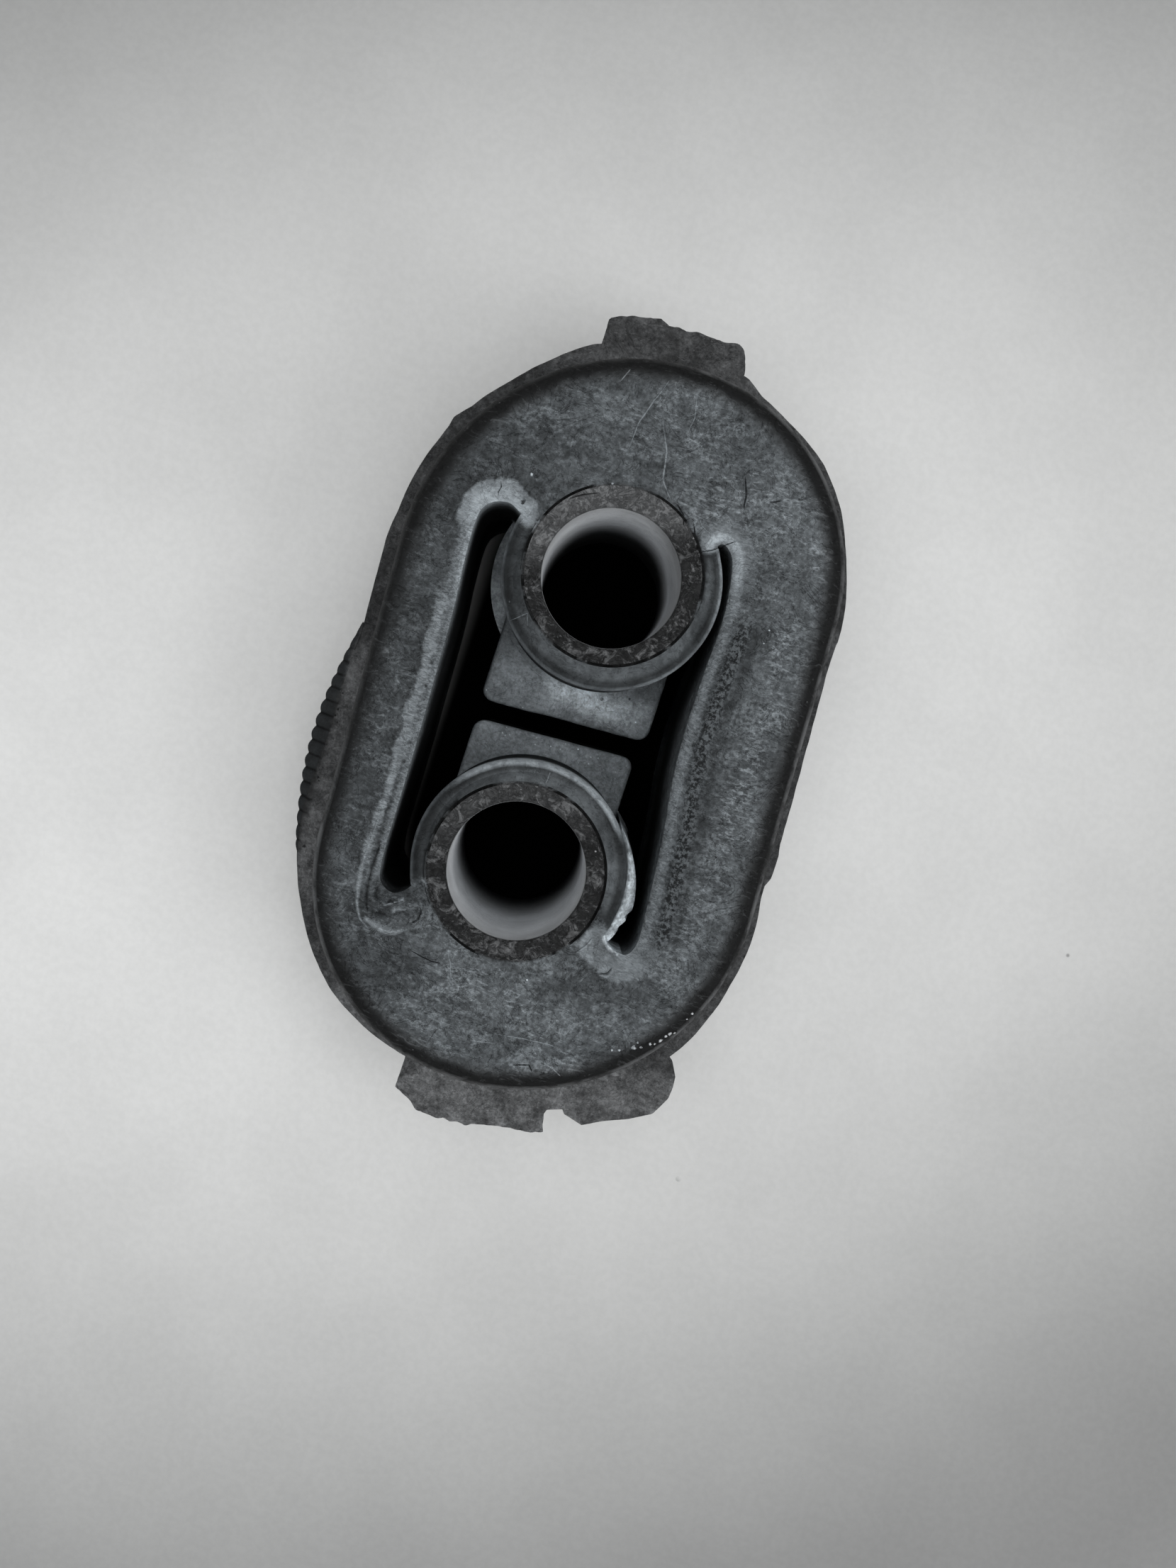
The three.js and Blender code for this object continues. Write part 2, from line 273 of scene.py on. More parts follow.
CUTS = (
    (0.22, (8.2, 25), (8.8, 23.6), (9, 22.3)),
    (0.24, (10.8, 23.5), (11.4, 23.8), (12, 24.3)),
    (0.16, (-11.6, 18.2), (-11.35, 17.7), (-11.5, 17.3), (-11.3, 16.8)),
    (0.16, (4.9, -29.4), (6.2, -28.9), (6.9, -29.6)),
    (0.18, (3.1, 21.2), (4.2, 20.3), (4.6, 19.1)),
    (0.2, (-5.5, 18.5), (-4.6, 19.2), (-3.2, 19.8)),
    (0.14, (-6.6, -22.6), (-4.6, -22.9), (-3.4, -22.8)),
    (0.5, (-11.9, -14.8), (-11.9, -16.8), (-11.8, -18.5), (-11.5, -19.9), (-11, -20.7)),
    (0.7, (-11.1, -17.9), (-10.9, -19), (-10.4, -19.6)),
    (0.8, (-11, -20.7), (-10.4, -20.3), (-9.7, -20.3), (-9.3, -20.6)),
    (0.3, (-10, -19.1), (-9.4, -19.2), (-8.9, -18.9)),
    (0.35, (-7.1, -18.4), (-6.7, -19.2), (-6.8, -19.9), (-7.4, -20.4)),
    (0.4, (9.3, -19.7), (10.2, -19.3), (10.6, -18.4)),
    (0.2, (6.4, 17.6), (7.8, 18.5), (9.3, 19.7)),
    (0.16, (5.2, 19.9), (6.4, 17.6)),
)
# Raised ridges of torn rubber, coloured with painted highlights
RIDGES = (
    (0.5, (-12.7, -12.6), (-12.7, -14.2), (-12.8, -15.9), (-12.75, -17.5), (-12.5, -19), (-12.05, -20.4),
     (-11.5, -21.3), (-10.6, -21.9)),
    (0.9, (-11.3, -21), (-10.4, -21.3), (-9.3, -21.6), (-8.4, -21.5), (-7.6, -21)),
    (0.55, (-10.3, -19.8), (-9.6, -19.3), (-8.9, -18.9), (-8.2, -18.3)),
    (1.2, (-9.3, -20), (-8.4, -19.4), (-7.6, -19.2)),
    (0.5, (8.2, -16.6), (7.7, -17.6), (7, -18.4)),
)
PITS = (
    (-20.64, -3.7, 0.13), (-20.62, -5.3, 0.15), (-20.7, -5.9, 0.13), (-20.3, -6.5, 0.14),
    (-20.4, -12, 0.11), (-20.3, -12.3, 0.11), (-19.75, -18.7, 0.2), (2.9, 3.4, 0.2), (5.4, 4.2, 0.16),
    (-9.2, 17.1, 0.2),
)
SPECKS = (
    (-9.2, 19.5, 0.17), (3.8, -21.9, 0.14), (12.7, -25.5, 0.12), (13.3, -25.3, 0.15), (14.4, -24.7, 0.22),
    (14.6, -24.2, 0.13), (15, -24.5, 0.16), (15.7, -24, 0.18), (16.1, -23.9, 0.12), (16.5, -23.5, 0.2),
    (16.8, -23, 0.14), (17.1, -22.7, 0.19), (17.5, -22.5, 0.14), (18.4, -20.4, 0.15), (18.1, -21, 0.1),
    (14.3, 13.2, 0.1), (14.2, 12, 0.09), (1.5, 3.3, 0.12), (-2.4, 20.9, 0.09), (5.9, 1.8, 0.13),
    (-5.1, -2.6, 0.09), (-1.8, -2.7, 0.1), (0.6, -2.4, 0.09), (3.6, -2.2, 0.11), (4.3, -2.1, 0.08),
)

# Painted light and shade on the bore walls by depth from the upper mouth
BORE_LIGHT_AND_SHADE = (
    (0, 0.42), (3, 0.58), (6, 0.7), (10, 0.82), (14, 0.82), (17, 0.72), (20, 0.55), (24, 0.28),
    (28, 0.08), (31, 0.03),
)

# Gate tabs: across the part, and out from the end of the band
UPPER_TAB = (
    (-7.5, -4), (-7.5, 5), (-6.9, 5.4), (-5.6, 5.9), (-4.4, 6.1), (-2.9, 6.5), (-2, 6.1), (-1.1, 6.3),
    (-0.2, 6.1), (0.6, 6.3), (3.5, 6.3), (4.8, 6.6), (5.5, 6.2), (6.2, 4.3), (6.6, -4),
)
LOWER_TAB = (
    (-4.5, -4), (-4.4, 5.8), (-2.7, 6.6), (-2, 7.3), (0.2, 7.4), (0.8, 7.2), (1.5, 7.4), (2.2, 7.2),
    (3.1, 7.4), (3.5, 7), (6.2, 6.4), (8.9, 6.1), (10.4, 5.7), (9.9, 4), (10.1, 3.5), (11.5, 3),
    (11.8, 3.4), (12.6, 3.6), (13.7, 3.9), (15.6, 2.9), (17.8, 2), (19.9, 0.8), (20.4, -0.1),
    (20.9, -1.1), (21, -2.2), (20.9, -3.3), (20.2, -4.6), (16, -8),
)


def flash_outline(spacing):
    base = band_outline(spacing)
    bearing = np.degrees(np.arctan2(base[:, 1] - BAND_Y, base[:, 0] - BAND_X)) % 360
    reach = np.interp(bearing, *np.array(FLASH_REACH).T)
    reach += 0.05 * fbm(run_of(base), 0 * bearing, 1.6, 5, 4)
    return grown(base, reach)


def tab_outline(tab, end, spacing):
    y = BAND_Y + end * (HALF_STRAIGHT + HALF_WIDTH)
    points = np.array([(x, y + end * out) for x, out in tab])
    points = resampled(points[::-1] if end > 0 else points, spacing)
    torn = np.clip((end * (points[:, 1] - y) - 3) / 3, 0, 1)
    run = run_of(points)
    crumbs = 0.1 * fbm(run, 0 * torn, 1.1, 11, 4) + 0.12 * np.abs(fbm(run, 0 * torn, 0.7, 15, 2))
    return grown(points, torn * crumbs)


def swell_wall(y):
    return BAND_X - HALF_WIDTH + SIDE_LEAN * (y - BAND_Y)


def scallops(y):
    """0 at the sharp roots of the scallops and 1 at their rounded tips, the teeth a little uneven."""
    along = SWELL_TOP - y + 0.1 * fbm(y, 0 * y, 3, 3)
    return np.abs(np.sin(math.pi * along / SERRATION_PITCH)) ** 0.8


def swell_hump(y):
    return np.sin(math.pi * np.clip((SWELL_TOP - y) / (SWELL_TOP - SWELL_BOTTOM), 0, 1))


def swell_outline(spacing):
    y = np.linspace(SWELL_TOP, SWELL_BOTTOM, int((SWELL_TOP - SWELL_BOTTOM) / spacing))
    reach = SWELL_ROOT + swell_hump(y) * (SWELL_REACH - SERRATION_DEPTH * (1 - scallops(y)))
    reach -= 0.7 * ramp(SWELL_BOTTOM + 2.5 - y, 0, 2.5)
    outer = np.c_[swell_wall(y) - reach, y]
    inner = np.c_[swell_wall(y[::-1]) + SWELL_SEAT, y[::-1]]
    return np.vstack([outer, inner[::8]])


def pad_outline(pad, spacing):
    """Pad from inside its hub to the gap; v runs from the middle of the gap towards the hub."""
    end, half = pad["end"], pad["half"]
    corner = PAD_GAP / 2 + PAD_CORNER
    back = HUB_Y - end * PAD_GAP_Y
    a = np.linspace(math.pi, 1.5 * math.pi, 9)
    turn = np.c_[PAD_CORNER * np.cos(a), PAD_CORNER * np.sin(a)]
    left = turn + [-half + PAD_CORNER, corner]
    right = left[::-1] * [-1, 1]
    points = np.vstack([[-half, back], left, right, [half, back]])
    points = np.c_[points[:, 0] + pad["middle"], PAD_GAP_Y + end * points[:, 1] + GAP_LEAN * points[:, 0]]
    points = resampled(points if end > 0 else points[::-1], spacing)
    ragged = (0.1 if end > 0 else 0.03) * fbm(points[:, 0], points[:, 1] * 0, 2.2, 21 + end, 4)
    near_gap = np.abs(points[:, 1] - PAD_GAP_Y - GAP_LEAN * points[:, 0]) < PAD_GAP
    return points + np.c_[0 * ragged, np.where(near_gap, ragged, 0)]


def strip(points, width):
    """Outline and middle line of a narrow mark along a polyline, tapered to its ends."""
    p = np.array(points, float)
    run = stations(p)
    t = np.linspace(0, run[-1], max(4, int(run[-1] / 0.35)))
    middle = np.c_[np.interp(t, run, p[:, 0]), np.interp(t, run, p[:, 1])]
    middle += 0.05 * np.c_[fbm(t, t * 0, 1.1, 91), fbm(t, t * 0, 1.1, 95)]
    along = np.gradient(middle, axis=0)
    along /= np.linalg.norm(along, axis=1, keepdims=True)
    taper = width / 2 * np.sin(math.pi * (0.1 + 0.8 * t / run[-1]))
    half = taper[:, None] * np.c_[along[:, 1], -along[:, 0]]
    return np.vstack([middle + half, (middle - half)[::-1]]), middle[1:-1]


def blob(x, y, radius, seed):
    """Outline and core of an irregular speck."""
    a = np.arange(9) / 9 * 2 * math.pi
    r = radius * (1 + 0.45 * value_noise(a * 3, 0 * a + seed, 1, seed))[:, None]
    spokes = r * np.c_[np.cos(a), np.sin(a)]
    return spokes + [x, y], 0.55 * spokes + [x, y]


# Plane geometry on arrays of points

def from_middle(hub, part, points):
    """Distance of points from the middle of one of the hub's circles."""
    x, y, _ = hub[part]
    return np.hypot(points[:, 0] - x, points[:, 1] - hub["y"] - y)


def inside(outline, points):
    """Even-odd test of many points against a closed outline."""
    result = np.zeros(len(points), bool)
    low, high = outline.min(0), outline.max(0)
    near = np.all((points > low) & (points < high), axis=1)
    x, y = points[near, 0], points[near, 1]
    hit = np.zeros(len(x), bool)
    for (ax, ay), (bx, by) in zip(outline, np.roll(outline, -1, 0)):
        if ay == by:
            continue
        spans = (y > min(ay, by)) & (y <= max(ay, by))
        hit[spans] ^= x[spans] < ax + (y[spans] - ay) * (bx - ax) / (by - ay)
    result[near] = hit
    return result


def distance(outline, points, keep=None):
    """Distance of points to the outline's segments, those flagged in keep only."""
    start, stop = outline, np.roll(outline, -1, 0)
    if keep is not None:
        start, stop = start[keep], stop[keep]
    best = np.full(len(points), 1e9)
    step = stop - start
    squared = (step ** 2).sum(1)
    for first in range(0, len(points), 2000):
        block = points[first:first + 2000]
        offset = block[:, None] - start[None]
        t = np.clip((offset * step).sum(2) / squared, 0, 1)
        best[first:first + 2000] = np.sqrt((((offset - t[..., None] * step)) ** 2).sum(2)).min(1)
    return best


def rounding(d, radius):
    """Fall of a rounded edge at distance d from its foot."""
    t = np.clip(radius - d, 0, radius)
    return radius - np.sqrt(np.maximum(radius ** 2 - t ** 2, 0))


# Moulding

VOID, FACE_R, LIP, RING, GROOVE, COLLAR, PAD_UP, PAD_LOW, HUB_FLASH, PLATE, SWELL = range(11)


class Plan:
    """Plan of the moulding: every outline in one triangulation, each triangle given to a region."""

    def __init__(self):
        self.points = []
        self.edges = []
        self.band = band_outline(0.3)
        self.cavity = cavity_outline(0.22)
        self.undercut = grown(self.cavity, MISMATCH)
        self.flash = flash_outline(0.25)
        self.tabs = [tab_outline(UPPER_TAB, 1, 0.25), tab_outline(LOWER_TAB, -1, 0.25)]
        self.swell = swell_outline(0.12)
        self.pads = [pad_outline(pad, 0.22) for pad in PADS]
        self.scratches = [strip(points, width) for width, *points in SCRATCHES]
        self.cuts = [strip(points, width) for width, *points in CUTS]
        self.ridges = [strip(points, width) for width, *points in RIDGES]
        self.specks = [blob(x, y, radius, 7 + i) for i, (x, y, radius) in enumerate(SPECKS)]
        self.pits = [blob(x, y, radius, 60 + i) for i, (x, y, radius) in enumerate(PITS)]
        self.trace()
        self.fill()
        self.triangulate()
        rim_distance = distance(self.cavity, self.xy)
        self.in_void = np.where(inside(self.cavity, self.xy), rim_distance, -rim_distance)

    def add(self, points):
        first = sum(map(len, self.points))
        self.points.append(points)
        return first

    def loop(self, outline):
        first = self.add(outline)
        count = len(outline)
        self.edges += [(first + i, first + (i + 1) % count) for i in range(count)]

    def chain(self, points):
        first = self.add(points)
        self.edges += [(first + i, first + i + 1) for i in range(len(points) - 1)]

    def trace(self):
        for angle in (90, 74, 58, 43, 30, 18, 8, 0):
            self.loop(grown(self.band, -EDGE_RADIUS * (1 - math.sin(math.radians(angle)))))
        self.loop(self.cavity)
        self.loop(self.undercut)
        self.loop(self.flash)
        for tab in self.tabs:
            self.loop(tab)
        self.loop(self.swell)
        for pad in self.pads:
            for inset in (0, 0.1, 0.25, PAD_EDGE):
                self.loop(grown(pad, -inset))
        for hub in HUBS:
            edge = [HUB_EDGE_RADIUS * (1 - math.sin(math.radians(a))) for a in (90, 66, 44, 24, 0)]
            for part, insets, spacing in (
                ("hub", edge, 0.3), ("collar", (-GROOVE_WIDTH, 0), 0.22),
                ("bore", (0, -0.06, -0.16, -BORE_CHAMFER), 0.24), ("flash", (0, 0.15, LEDGE_INSET), 0.25),
            ):
                x, y, radius = hub[part]
                for inset in insets:
                    self.loop(circle(x, hub["y"] + y, radius - inset, spacing))
        for outline, middle in self.scratches + self.cuts + self.ridges:
            self.loop(outline)
            self.chain(middle)
        for outline, core in self.specks + self.pits:
            self.loop(outline)
            self.loop(core)

    def fill(self):
        """Free points: a jittered grid, finer round the slots and collars, clear of the outlines."""
        lines = np.vstack(self.points)
        cells = {}
        cell = 0.5
        for p in lines:
            cells.setdefault((int(p[0] // cell), int(p[1] // cell)), []).append(p)
        rng = np.random.default_rng(4)
        kept = []
        for spacing, wanted in ((FINE_SPACING, True), (COARSE_SPACING, False)):
            xs = np.arange(-24, 25.5, spacing)
            ys = np.arange(-41, 41, spacing * 0.87)
            gx, gy = np.meshgrid(xs, ys)
            gx = gx + (np.arange(len(ys)) % 2)[:, None] * spacing / 2
            grid = np.c_[gx.ravel(), gy.ravel()] + rng.uniform(-0.12, 0.12, (gx.size, 2)) * spacing
            fine = self.needs_fine(grid)
            solid = self.on_plate(grid) | inside(self.swell, grid)
            for x, y in grid[(fine == wanted) & solid]:
                i, j = int(x // cell), int(y // cell)
                close = any(
                    (x - p[0]) ** 2 + (y - p[1]) ** 2 < (0.55 * spacing) ** 2
                    for di in (-1, 0, 1) for dj in (-1, 0, 1) for p in cells.get((i + di, j + dj), ())
                )
                if not close:
                    kept.append((x, y))
        self.add(np.array(kept))

    def on_plate(self, points):
        return np.any([inside(outline, points) for outline in (self.flash, *self.tabs)], axis=0)

    def needs_fine(self, points):
        """Near the open slots and collars, but not inside a bore."""
        fine = distance(self.cavity, points) < FINE_ROUND_SLOTS
        for hub in HUBS:
            r = from_middle(hub, "bore", points)
            fine |= r < FINE_ROUND_BORES
            fine &= r >= BORE_RADIUS
        return fine

    def triangulate(self):
        points = np.vstack(self.points)
        verts = [Vector(p) for p in points.tolist()]
        out = delaunay_2d_cdt(verts, self.edges, [], 0, 1e-4)
        self.xy = np.array([tuple(v) for v in out[0]])
        self.tris = np.array(out[2])
        centre = self.xy[self.tris].mean(1)
        self.region = self.regions(centre)
        solid = self.region != VOID
        self.tris, self.region = self.tris[solid], self.region[solid]

    def regions(self, p):
        in_cavity = inside(self.cavity, p)
        region = np.full(len(p), VOID)
        region[inside(self.swell, p)] = SWELL
        region[self.on_plate(p)] = PLATE
        in_band = inside(self.band, p)
        region[in_band] = FACE_R
        region[in_band & inside(self.undercut, p)] = LIP
        region[in_cavity] = VOID
        for hub in HUBS:
            region[in_cavity & (from_middle(hub, "flash", p) < hub["flash"][2])] = HUB_FLASH
        for pad, code in zip(self.pads, (PAD_UP, PAD_LOW)):
            region[in_cavity & inside(pad, p)] = code
        for hub in HUBS:
            within = from_middle(hub, "hub", p) < hub["hub"][2]
            region[within & in_cavity] = RING
            region[within & ~in_cavity] = FACE_R
            r = from_middle(hub, "collar", p)
            region[r < COLLAR_RADIUS + GROOVE_WIDTH] = GROOVE
            region[r < COLLAR_RADIUS] = COLLAR
            region[from_middle(hub, "bore", p) < BORE_RADIUS] = VOID
        return region


def open_rim(plan):
    """Segments of the cavity outline that are open rims, not hidden inside a hub."""
    keep = np.ones(len(plan.cavity), bool)
    for hub in HUBS:
        keep &= from_middle(hub, "hub", plan.cavity) > hub["hub"][2]
    return keep


def bump(x, y, cx, cy, rx, ry):
    """Soft patch of influence round a place."""
    return np.exp(-((x - cx) / rx) ** 2 - ((y - cy) / ry) ** 2)


def line_at(d, at, width):
    """Soft line at a distance."""
    return np.exp(-((d - at) / width) ** 2)


def slot_wear(x, y, d):
    """Shape and brightness of the rubber along the slots, by distance d from the rim: wear with painted
    highlights along the rims.
    """
    right = ramp(x, -3, 5)
    left = 1 - right
    upper_left = left * ramp(y, 12.5, 14.8)
    lower_left = left * ramp(-y, 16.2, 18)
    upper_right = right * ramp(y, 13.5, 17.5)
    lower_right = right * ramp(-y, 14.6, 16.6)
    ends = upper_left + lower_left + upper_right + lower_right
    long_left, long_right = left * (1 - ends), right * (1 - ends)
    ragged = fbm(x, y, 1.5, 41, 5)
    width = 1.15 + 0.2 * right + 0.75 * upper_left + 1.3 * lower_left + 0.9 * upper_right + lower_right
    width = width + (0.14 + 0.3 * ends) * ragged
    slope = np.clip(1 - d / width, 0, 1)

    # frayed strip beside the left slot, crinkled strip beside the right one
    inner_edge = 0.5 + 0.3 * ramp(-y, 4, 12)
    frayed = long_left * ramp(-y, -9.5, -6) * ramp(d, inner_edge, inner_edge + 0.2)
    frayed *= 1 - ramp(d, 1.35 + 0.5 * ragged, 1.75 + 0.5 * ragged)
    below_end = ramp(16 - y, 1, 4)
    crinkle = long_right * below_end * ramp(d, 1.15, 1.4) * (1 - ramp(d, 2.3, 2.6 + 0.3 * ragged))
    gutter = right * (1 - 0.7 * ends) * line_at(d - 0.2 * ragged, 3, 0.45) * below_end

    # rubber that has torn and rolled up at the lower end of the left slot
    lumps = bump(x, y, -9.6, -19.3, 1.9, 1.2) + 0.7 * bump(x, y, -12, -19, 0.9, 1.5)
    rolls = np.abs(fbm(x * 0.8 + 0.5 * y, y * 1.5, 1.5, 53, 4))

    depth = CHAMFER_DEPTH * slope ** 1.25 * (1 - 0.45 * frayed)
    depth += (0.05 + 0.05 * ends) * ramp(slope, 0, 0.08)
    depth += 0.1 * frayed * fbm(x, y, 0.7, 43, 3) + 0.06 * ends * ramp(slope, 0, 0.3) * fbm(x, y, 1.1, 45)
    depth += crinkle * (0.18 * fbm(x * 1.2, y, 0.75, 47, 3) - 0.05) + 0.2 * gutter
    depth += lumps * (0.5 * rolls - 0.1)

    inside_band = ramp(slope, 0, 0.12)
    # painted highlight lines along the rims, mixed into the wear
    rim_light = 1 - ramp(d, 0.25, 0.5)
    wear_and_highlight = long_left * (0.8 * frayed + 0.1 * inside_band + 0.75 * rim_light)
    wear_and_highlight += long_left * ramp(y, 6, 10) * inside_band * 0.5 * (1 - ramp(d, 0.7, 1.3))
    wear_and_highlight += upper_left * inside_band * (0.85 + 0.35 * (1 - ramp(d, 0.5, 1.5)) + 0.3 * ragged)
    wear_and_highlight += lower_left * inside_band * (0.08 + 0.3 * ragged)
    wear_and_highlight += upper_right * inside_band * (0.4 + line_at(d, 0.6, 0.45))
    wear_and_highlight += lower_right * inside_band * (0.6 + 0.45 * ragged)
    wear_and_highlight += long_right * (inside_band * 0.85 * line_at(d, 0.5, 0.42) + 0.05 * crinkle)
    return depth, {
        "wear_and_highlight": np.clip(wear_and_highlight, 0, 1.3),
        "end": np.clip(ends, 0, 1),
        "crinkle": np.clip(crinkle, 0, 1),
        # the hollows between the torn rolls are painted shade
        "gutter": np.clip(gutter + 0.6 * lumps * ramp(rolls, 0.25, 0.5), 0, 1),
    }


# How deep each kind of mark is sunk in the surface; a negative one stands out of it
MARK_DEPTHS = {"scratch": 0.04, "cut": 0.16, "ridge_highlight": -0.16, "speck": -0.1}


def add_marks(plan, marks):
    """Adds a mask for each kind of mark and returns how deep all of them are sunk."""
    p = plan.xy
    sunk = np.zeros(len(p))
    for name, found, closed in (
        ("scratch", plan.scratches, False), ("cut", plan.cuts, False), ("ridge_highlight", plan.ridges, False),
        ("speck", plan.specks, True), ("cut", plan.pits, True),
    ):
        marks.setdefault(name, np.zeros(len(p)))
        for _, core in found:
            low, high = core.min(0) - 0.1, core.max(0) + 0.1
            near = np.flatnonzero(np.all((p > low) & (p < high), axis=1))
            keep = np.arange(len(core)) < len(core) - (not closed)
            hit = near[distance(core, p[near], keep) < 0.004]
            marks[name][hit] = 1
            sunk[hit] += MARK_DEPTHS[name]
    return sunk


def flash_distance(plan):
    """Distance to the outer edge of the flash, or of a tab where it stands further out."""
    p = plan.xy
    d_flash = distance(plan.flash, p)
    beyond = np.abs(p[:, 1] - BAND_Y) > HALF_STRAIGHT + HALF_WIDTH - 9
    for tab in plan.tabs:
        own = beyond & inside(grown(tab, 0.01), p)
        own_distance = distance(tab, p[own])
        both = np.maximum(d_flash[own], own_distance)
        d_flash[own] = np.where(inside(plan.flash, p[own]), both, own_distance)
    return d_flash


def hub_heights(plan, depth, wave, sunk):
    """Heights of the falling ring, the collar and the groove between them, for both hubs."""
    p = plan.xy
    x, y = p.T
    ring = FACE + 0 * x
    collar = HEIGHT + 0 * x
    merge = ramp(plan.in_void, 0, 1.6)
    for hub in HUBS:
        radius = hub["hub"][2]
        r = from_middle(hub, "hub", p)
        share = (r - COLLAR_RADIUS) / (radius - HUB_EDGE_RADIUS - COLLAR_RADIUS)
        fall = RING_FALL * np.clip(share, 0, 1) ** 1.5
        fall += rounding(np.maximum(radius - r, 0), HUB_EDGE_RADIUS)
        shape = FACE + 0.02 - merge * fall - (1 - merge) * depth + 0.3 * wave - sunk
        ring = np.where(r < radius + 0.6, shape, ring)
        rb = from_middle(hub, "bore", p)
        rough = 0.05 * fbm(x, y, 1.1, 61, 4)
        shape = HEIGHT - 0.06 + rough - rounding(rb - BORE_RADIUS, BORE_CHAMFER) - sunk
        collar = np.where(rb < COLLAR_RADIUS + 1, shape, collar)
    collar = np.minimum(collar, HEIGHT)
    groove = FACE - GROOVE_DEPTH * np.clip(0.35 + 1.3 * fbm(x, y, 2.6, 67), 0, 1)
    return ring, collar, groove


def folded_flash(p):
    """How far the torn flash of the lower hub stands up where it is folded against the hub."""
    x, y = p.T
    outward = np.maximum(from_middle(LOWER_HUB, "hub", p) - LOWER_HUB["hub"][2], 0)
    inward = np.maximum(LOWER_HUB["flash"][2] - from_middle(LOWER_HUB, "flash", p), 0)
    lean = inward / (inward + outward + 1e-6)
    ledge = LEDGE_Z + (FACE - 1.5 - LEDGE_Z) * lean + 0.25 * fbm(x, y, 0.9, 77) - PARTING
    folded = ramp(inward - 0.9 * ramp(-y, 13, 17.5), 0.1, LEDGE_INSET) * ramp(x, 3, 6) * (y < -3)
    return ledge * folded


def heights(plan):
    """Top and bottom height of every region at every point of the plan, and marks on the upper side."""
    p = plan.xy
    x, y = p.T
    d_band = distance(plan.band, p)
    d_rim = distance(plan.cavity, p, open_rim(plan))
    d_flash = flash_distance(plan)
    wave = 0.05 * fbm(x, y, 9, 31) + 0.014 * fbm(x, y, 1.3, 33)

    depth, marks = slot_wear(x, y, d_rim)
    wrinkles = bump(x, y, 6.8, 22.0, 4.2, 2.6) + 0.6 * bump(x, y, -4.0, -26.5, 5.0, 2.5)
    creases = 0.1 * wrinkles * np.abs(fbm(x * 1.4 + y, y * 1.4 - 0.6 * x, 1.9, 35, 3))
    sunk = add_marks(plan, marks)
    face = FACE + wave - creases - sunk - rounding(d_band, EDGE_RADIUS) - depth
    lower_chamfer = CHAMFER_DEPTH * np.clip(1 - d_rim / CHAMFER_WIDTH, 0, 1)
    under = COLLAR_HEIGHT + 0.5 * wave + rounding(d_band, EDGE_RADIUS) + lower_chamfer

    top = {FACE_R: face, LIP: face}
    bottom = {FACE_R: under, LIP: PARTING - 0.4 + 0 * x}
    ring, collar, groove = hub_heights(plan, depth, wave, sunk)
    for code, height in ((RING, ring), (COLLAR, collar), (GROOVE, groove)):
        top[code], bottom[code] = height, HEIGHT - height

    flat = PARTING + 0.03 * fbm(x, y, 2.5, 71)
    for code, pad in ((PAD_UP, plan.pads[0]), (PAD_LOW, plan.pads[1])):
        top[code] = flat - rounding(distance(pad, p), PAD_EDGE)
        bottom[code] = COLLAR_HEIGHT + 0 * x
    top[HUB_FLASH] = flat - 0.02 + folded_flash(p)
    bottom[HUB_FLASH] = PARTING - FLASH_THICKNESS + 0 * x
    rough_plate = 0.08 * fbm(x, y, 1.2, 73, 4) * ramp(d_flash, 0, 0.6)
    top[PLATE] = PARTING + rough_plate - rounding(d_flash, 0.25)
    bottom[PLATE] = PARTING - FLASH_THICKNESS + rough_plate + rounding(d_flash, 0.25)
    out = np.clip((swell_wall(y) - SWELL_ROOT - x) / SWELL_REACH, -0.2, 1.1)
    top[SWELL] = PARTING - 0.15 - 1.9 * np.maximum(out, 0)
    top[SWELL] += 0.4 * ramp(out, 0.05, 0.4) * (scallops(y) - 0.6)
    bottom[SWELL] = PARTING - SWELL_HEIGHT + 1.4 * np.maximum(out, 0)
    marks["tooth"] = ramp(out, 0.02, 0.15)
    marks["wrinkle"] = np.clip(wrinkles, 0, 1)
    marks["specky"] = np.clip(bump(x, y, 5.8, 2.6, 2.4, 1.3) + bump(x, y, 2, -2.2, 6.5, 0.8), 0, 1)
    marks["streak"] = np.clip(
        bump(x, y, 16.2, -1, 1.3, 8) + bump(x, y, 16, 12, 1.2, 2.5) + 0.7 * bump(x, y, -15.6, 9, 0.5, 6)
        + 0.8 * bump(x, y, 15.2, -15, 1.2, 5), 0, 1)
    return top, bottom, marks, d_band


# Heights of the extra rows of points on tall walls, and how far they keep from the walls' own rows
LEVELS = np.arange(2.5, HEIGHT - 1, 2.25)
LEVEL_CLEARANCE = 0.6


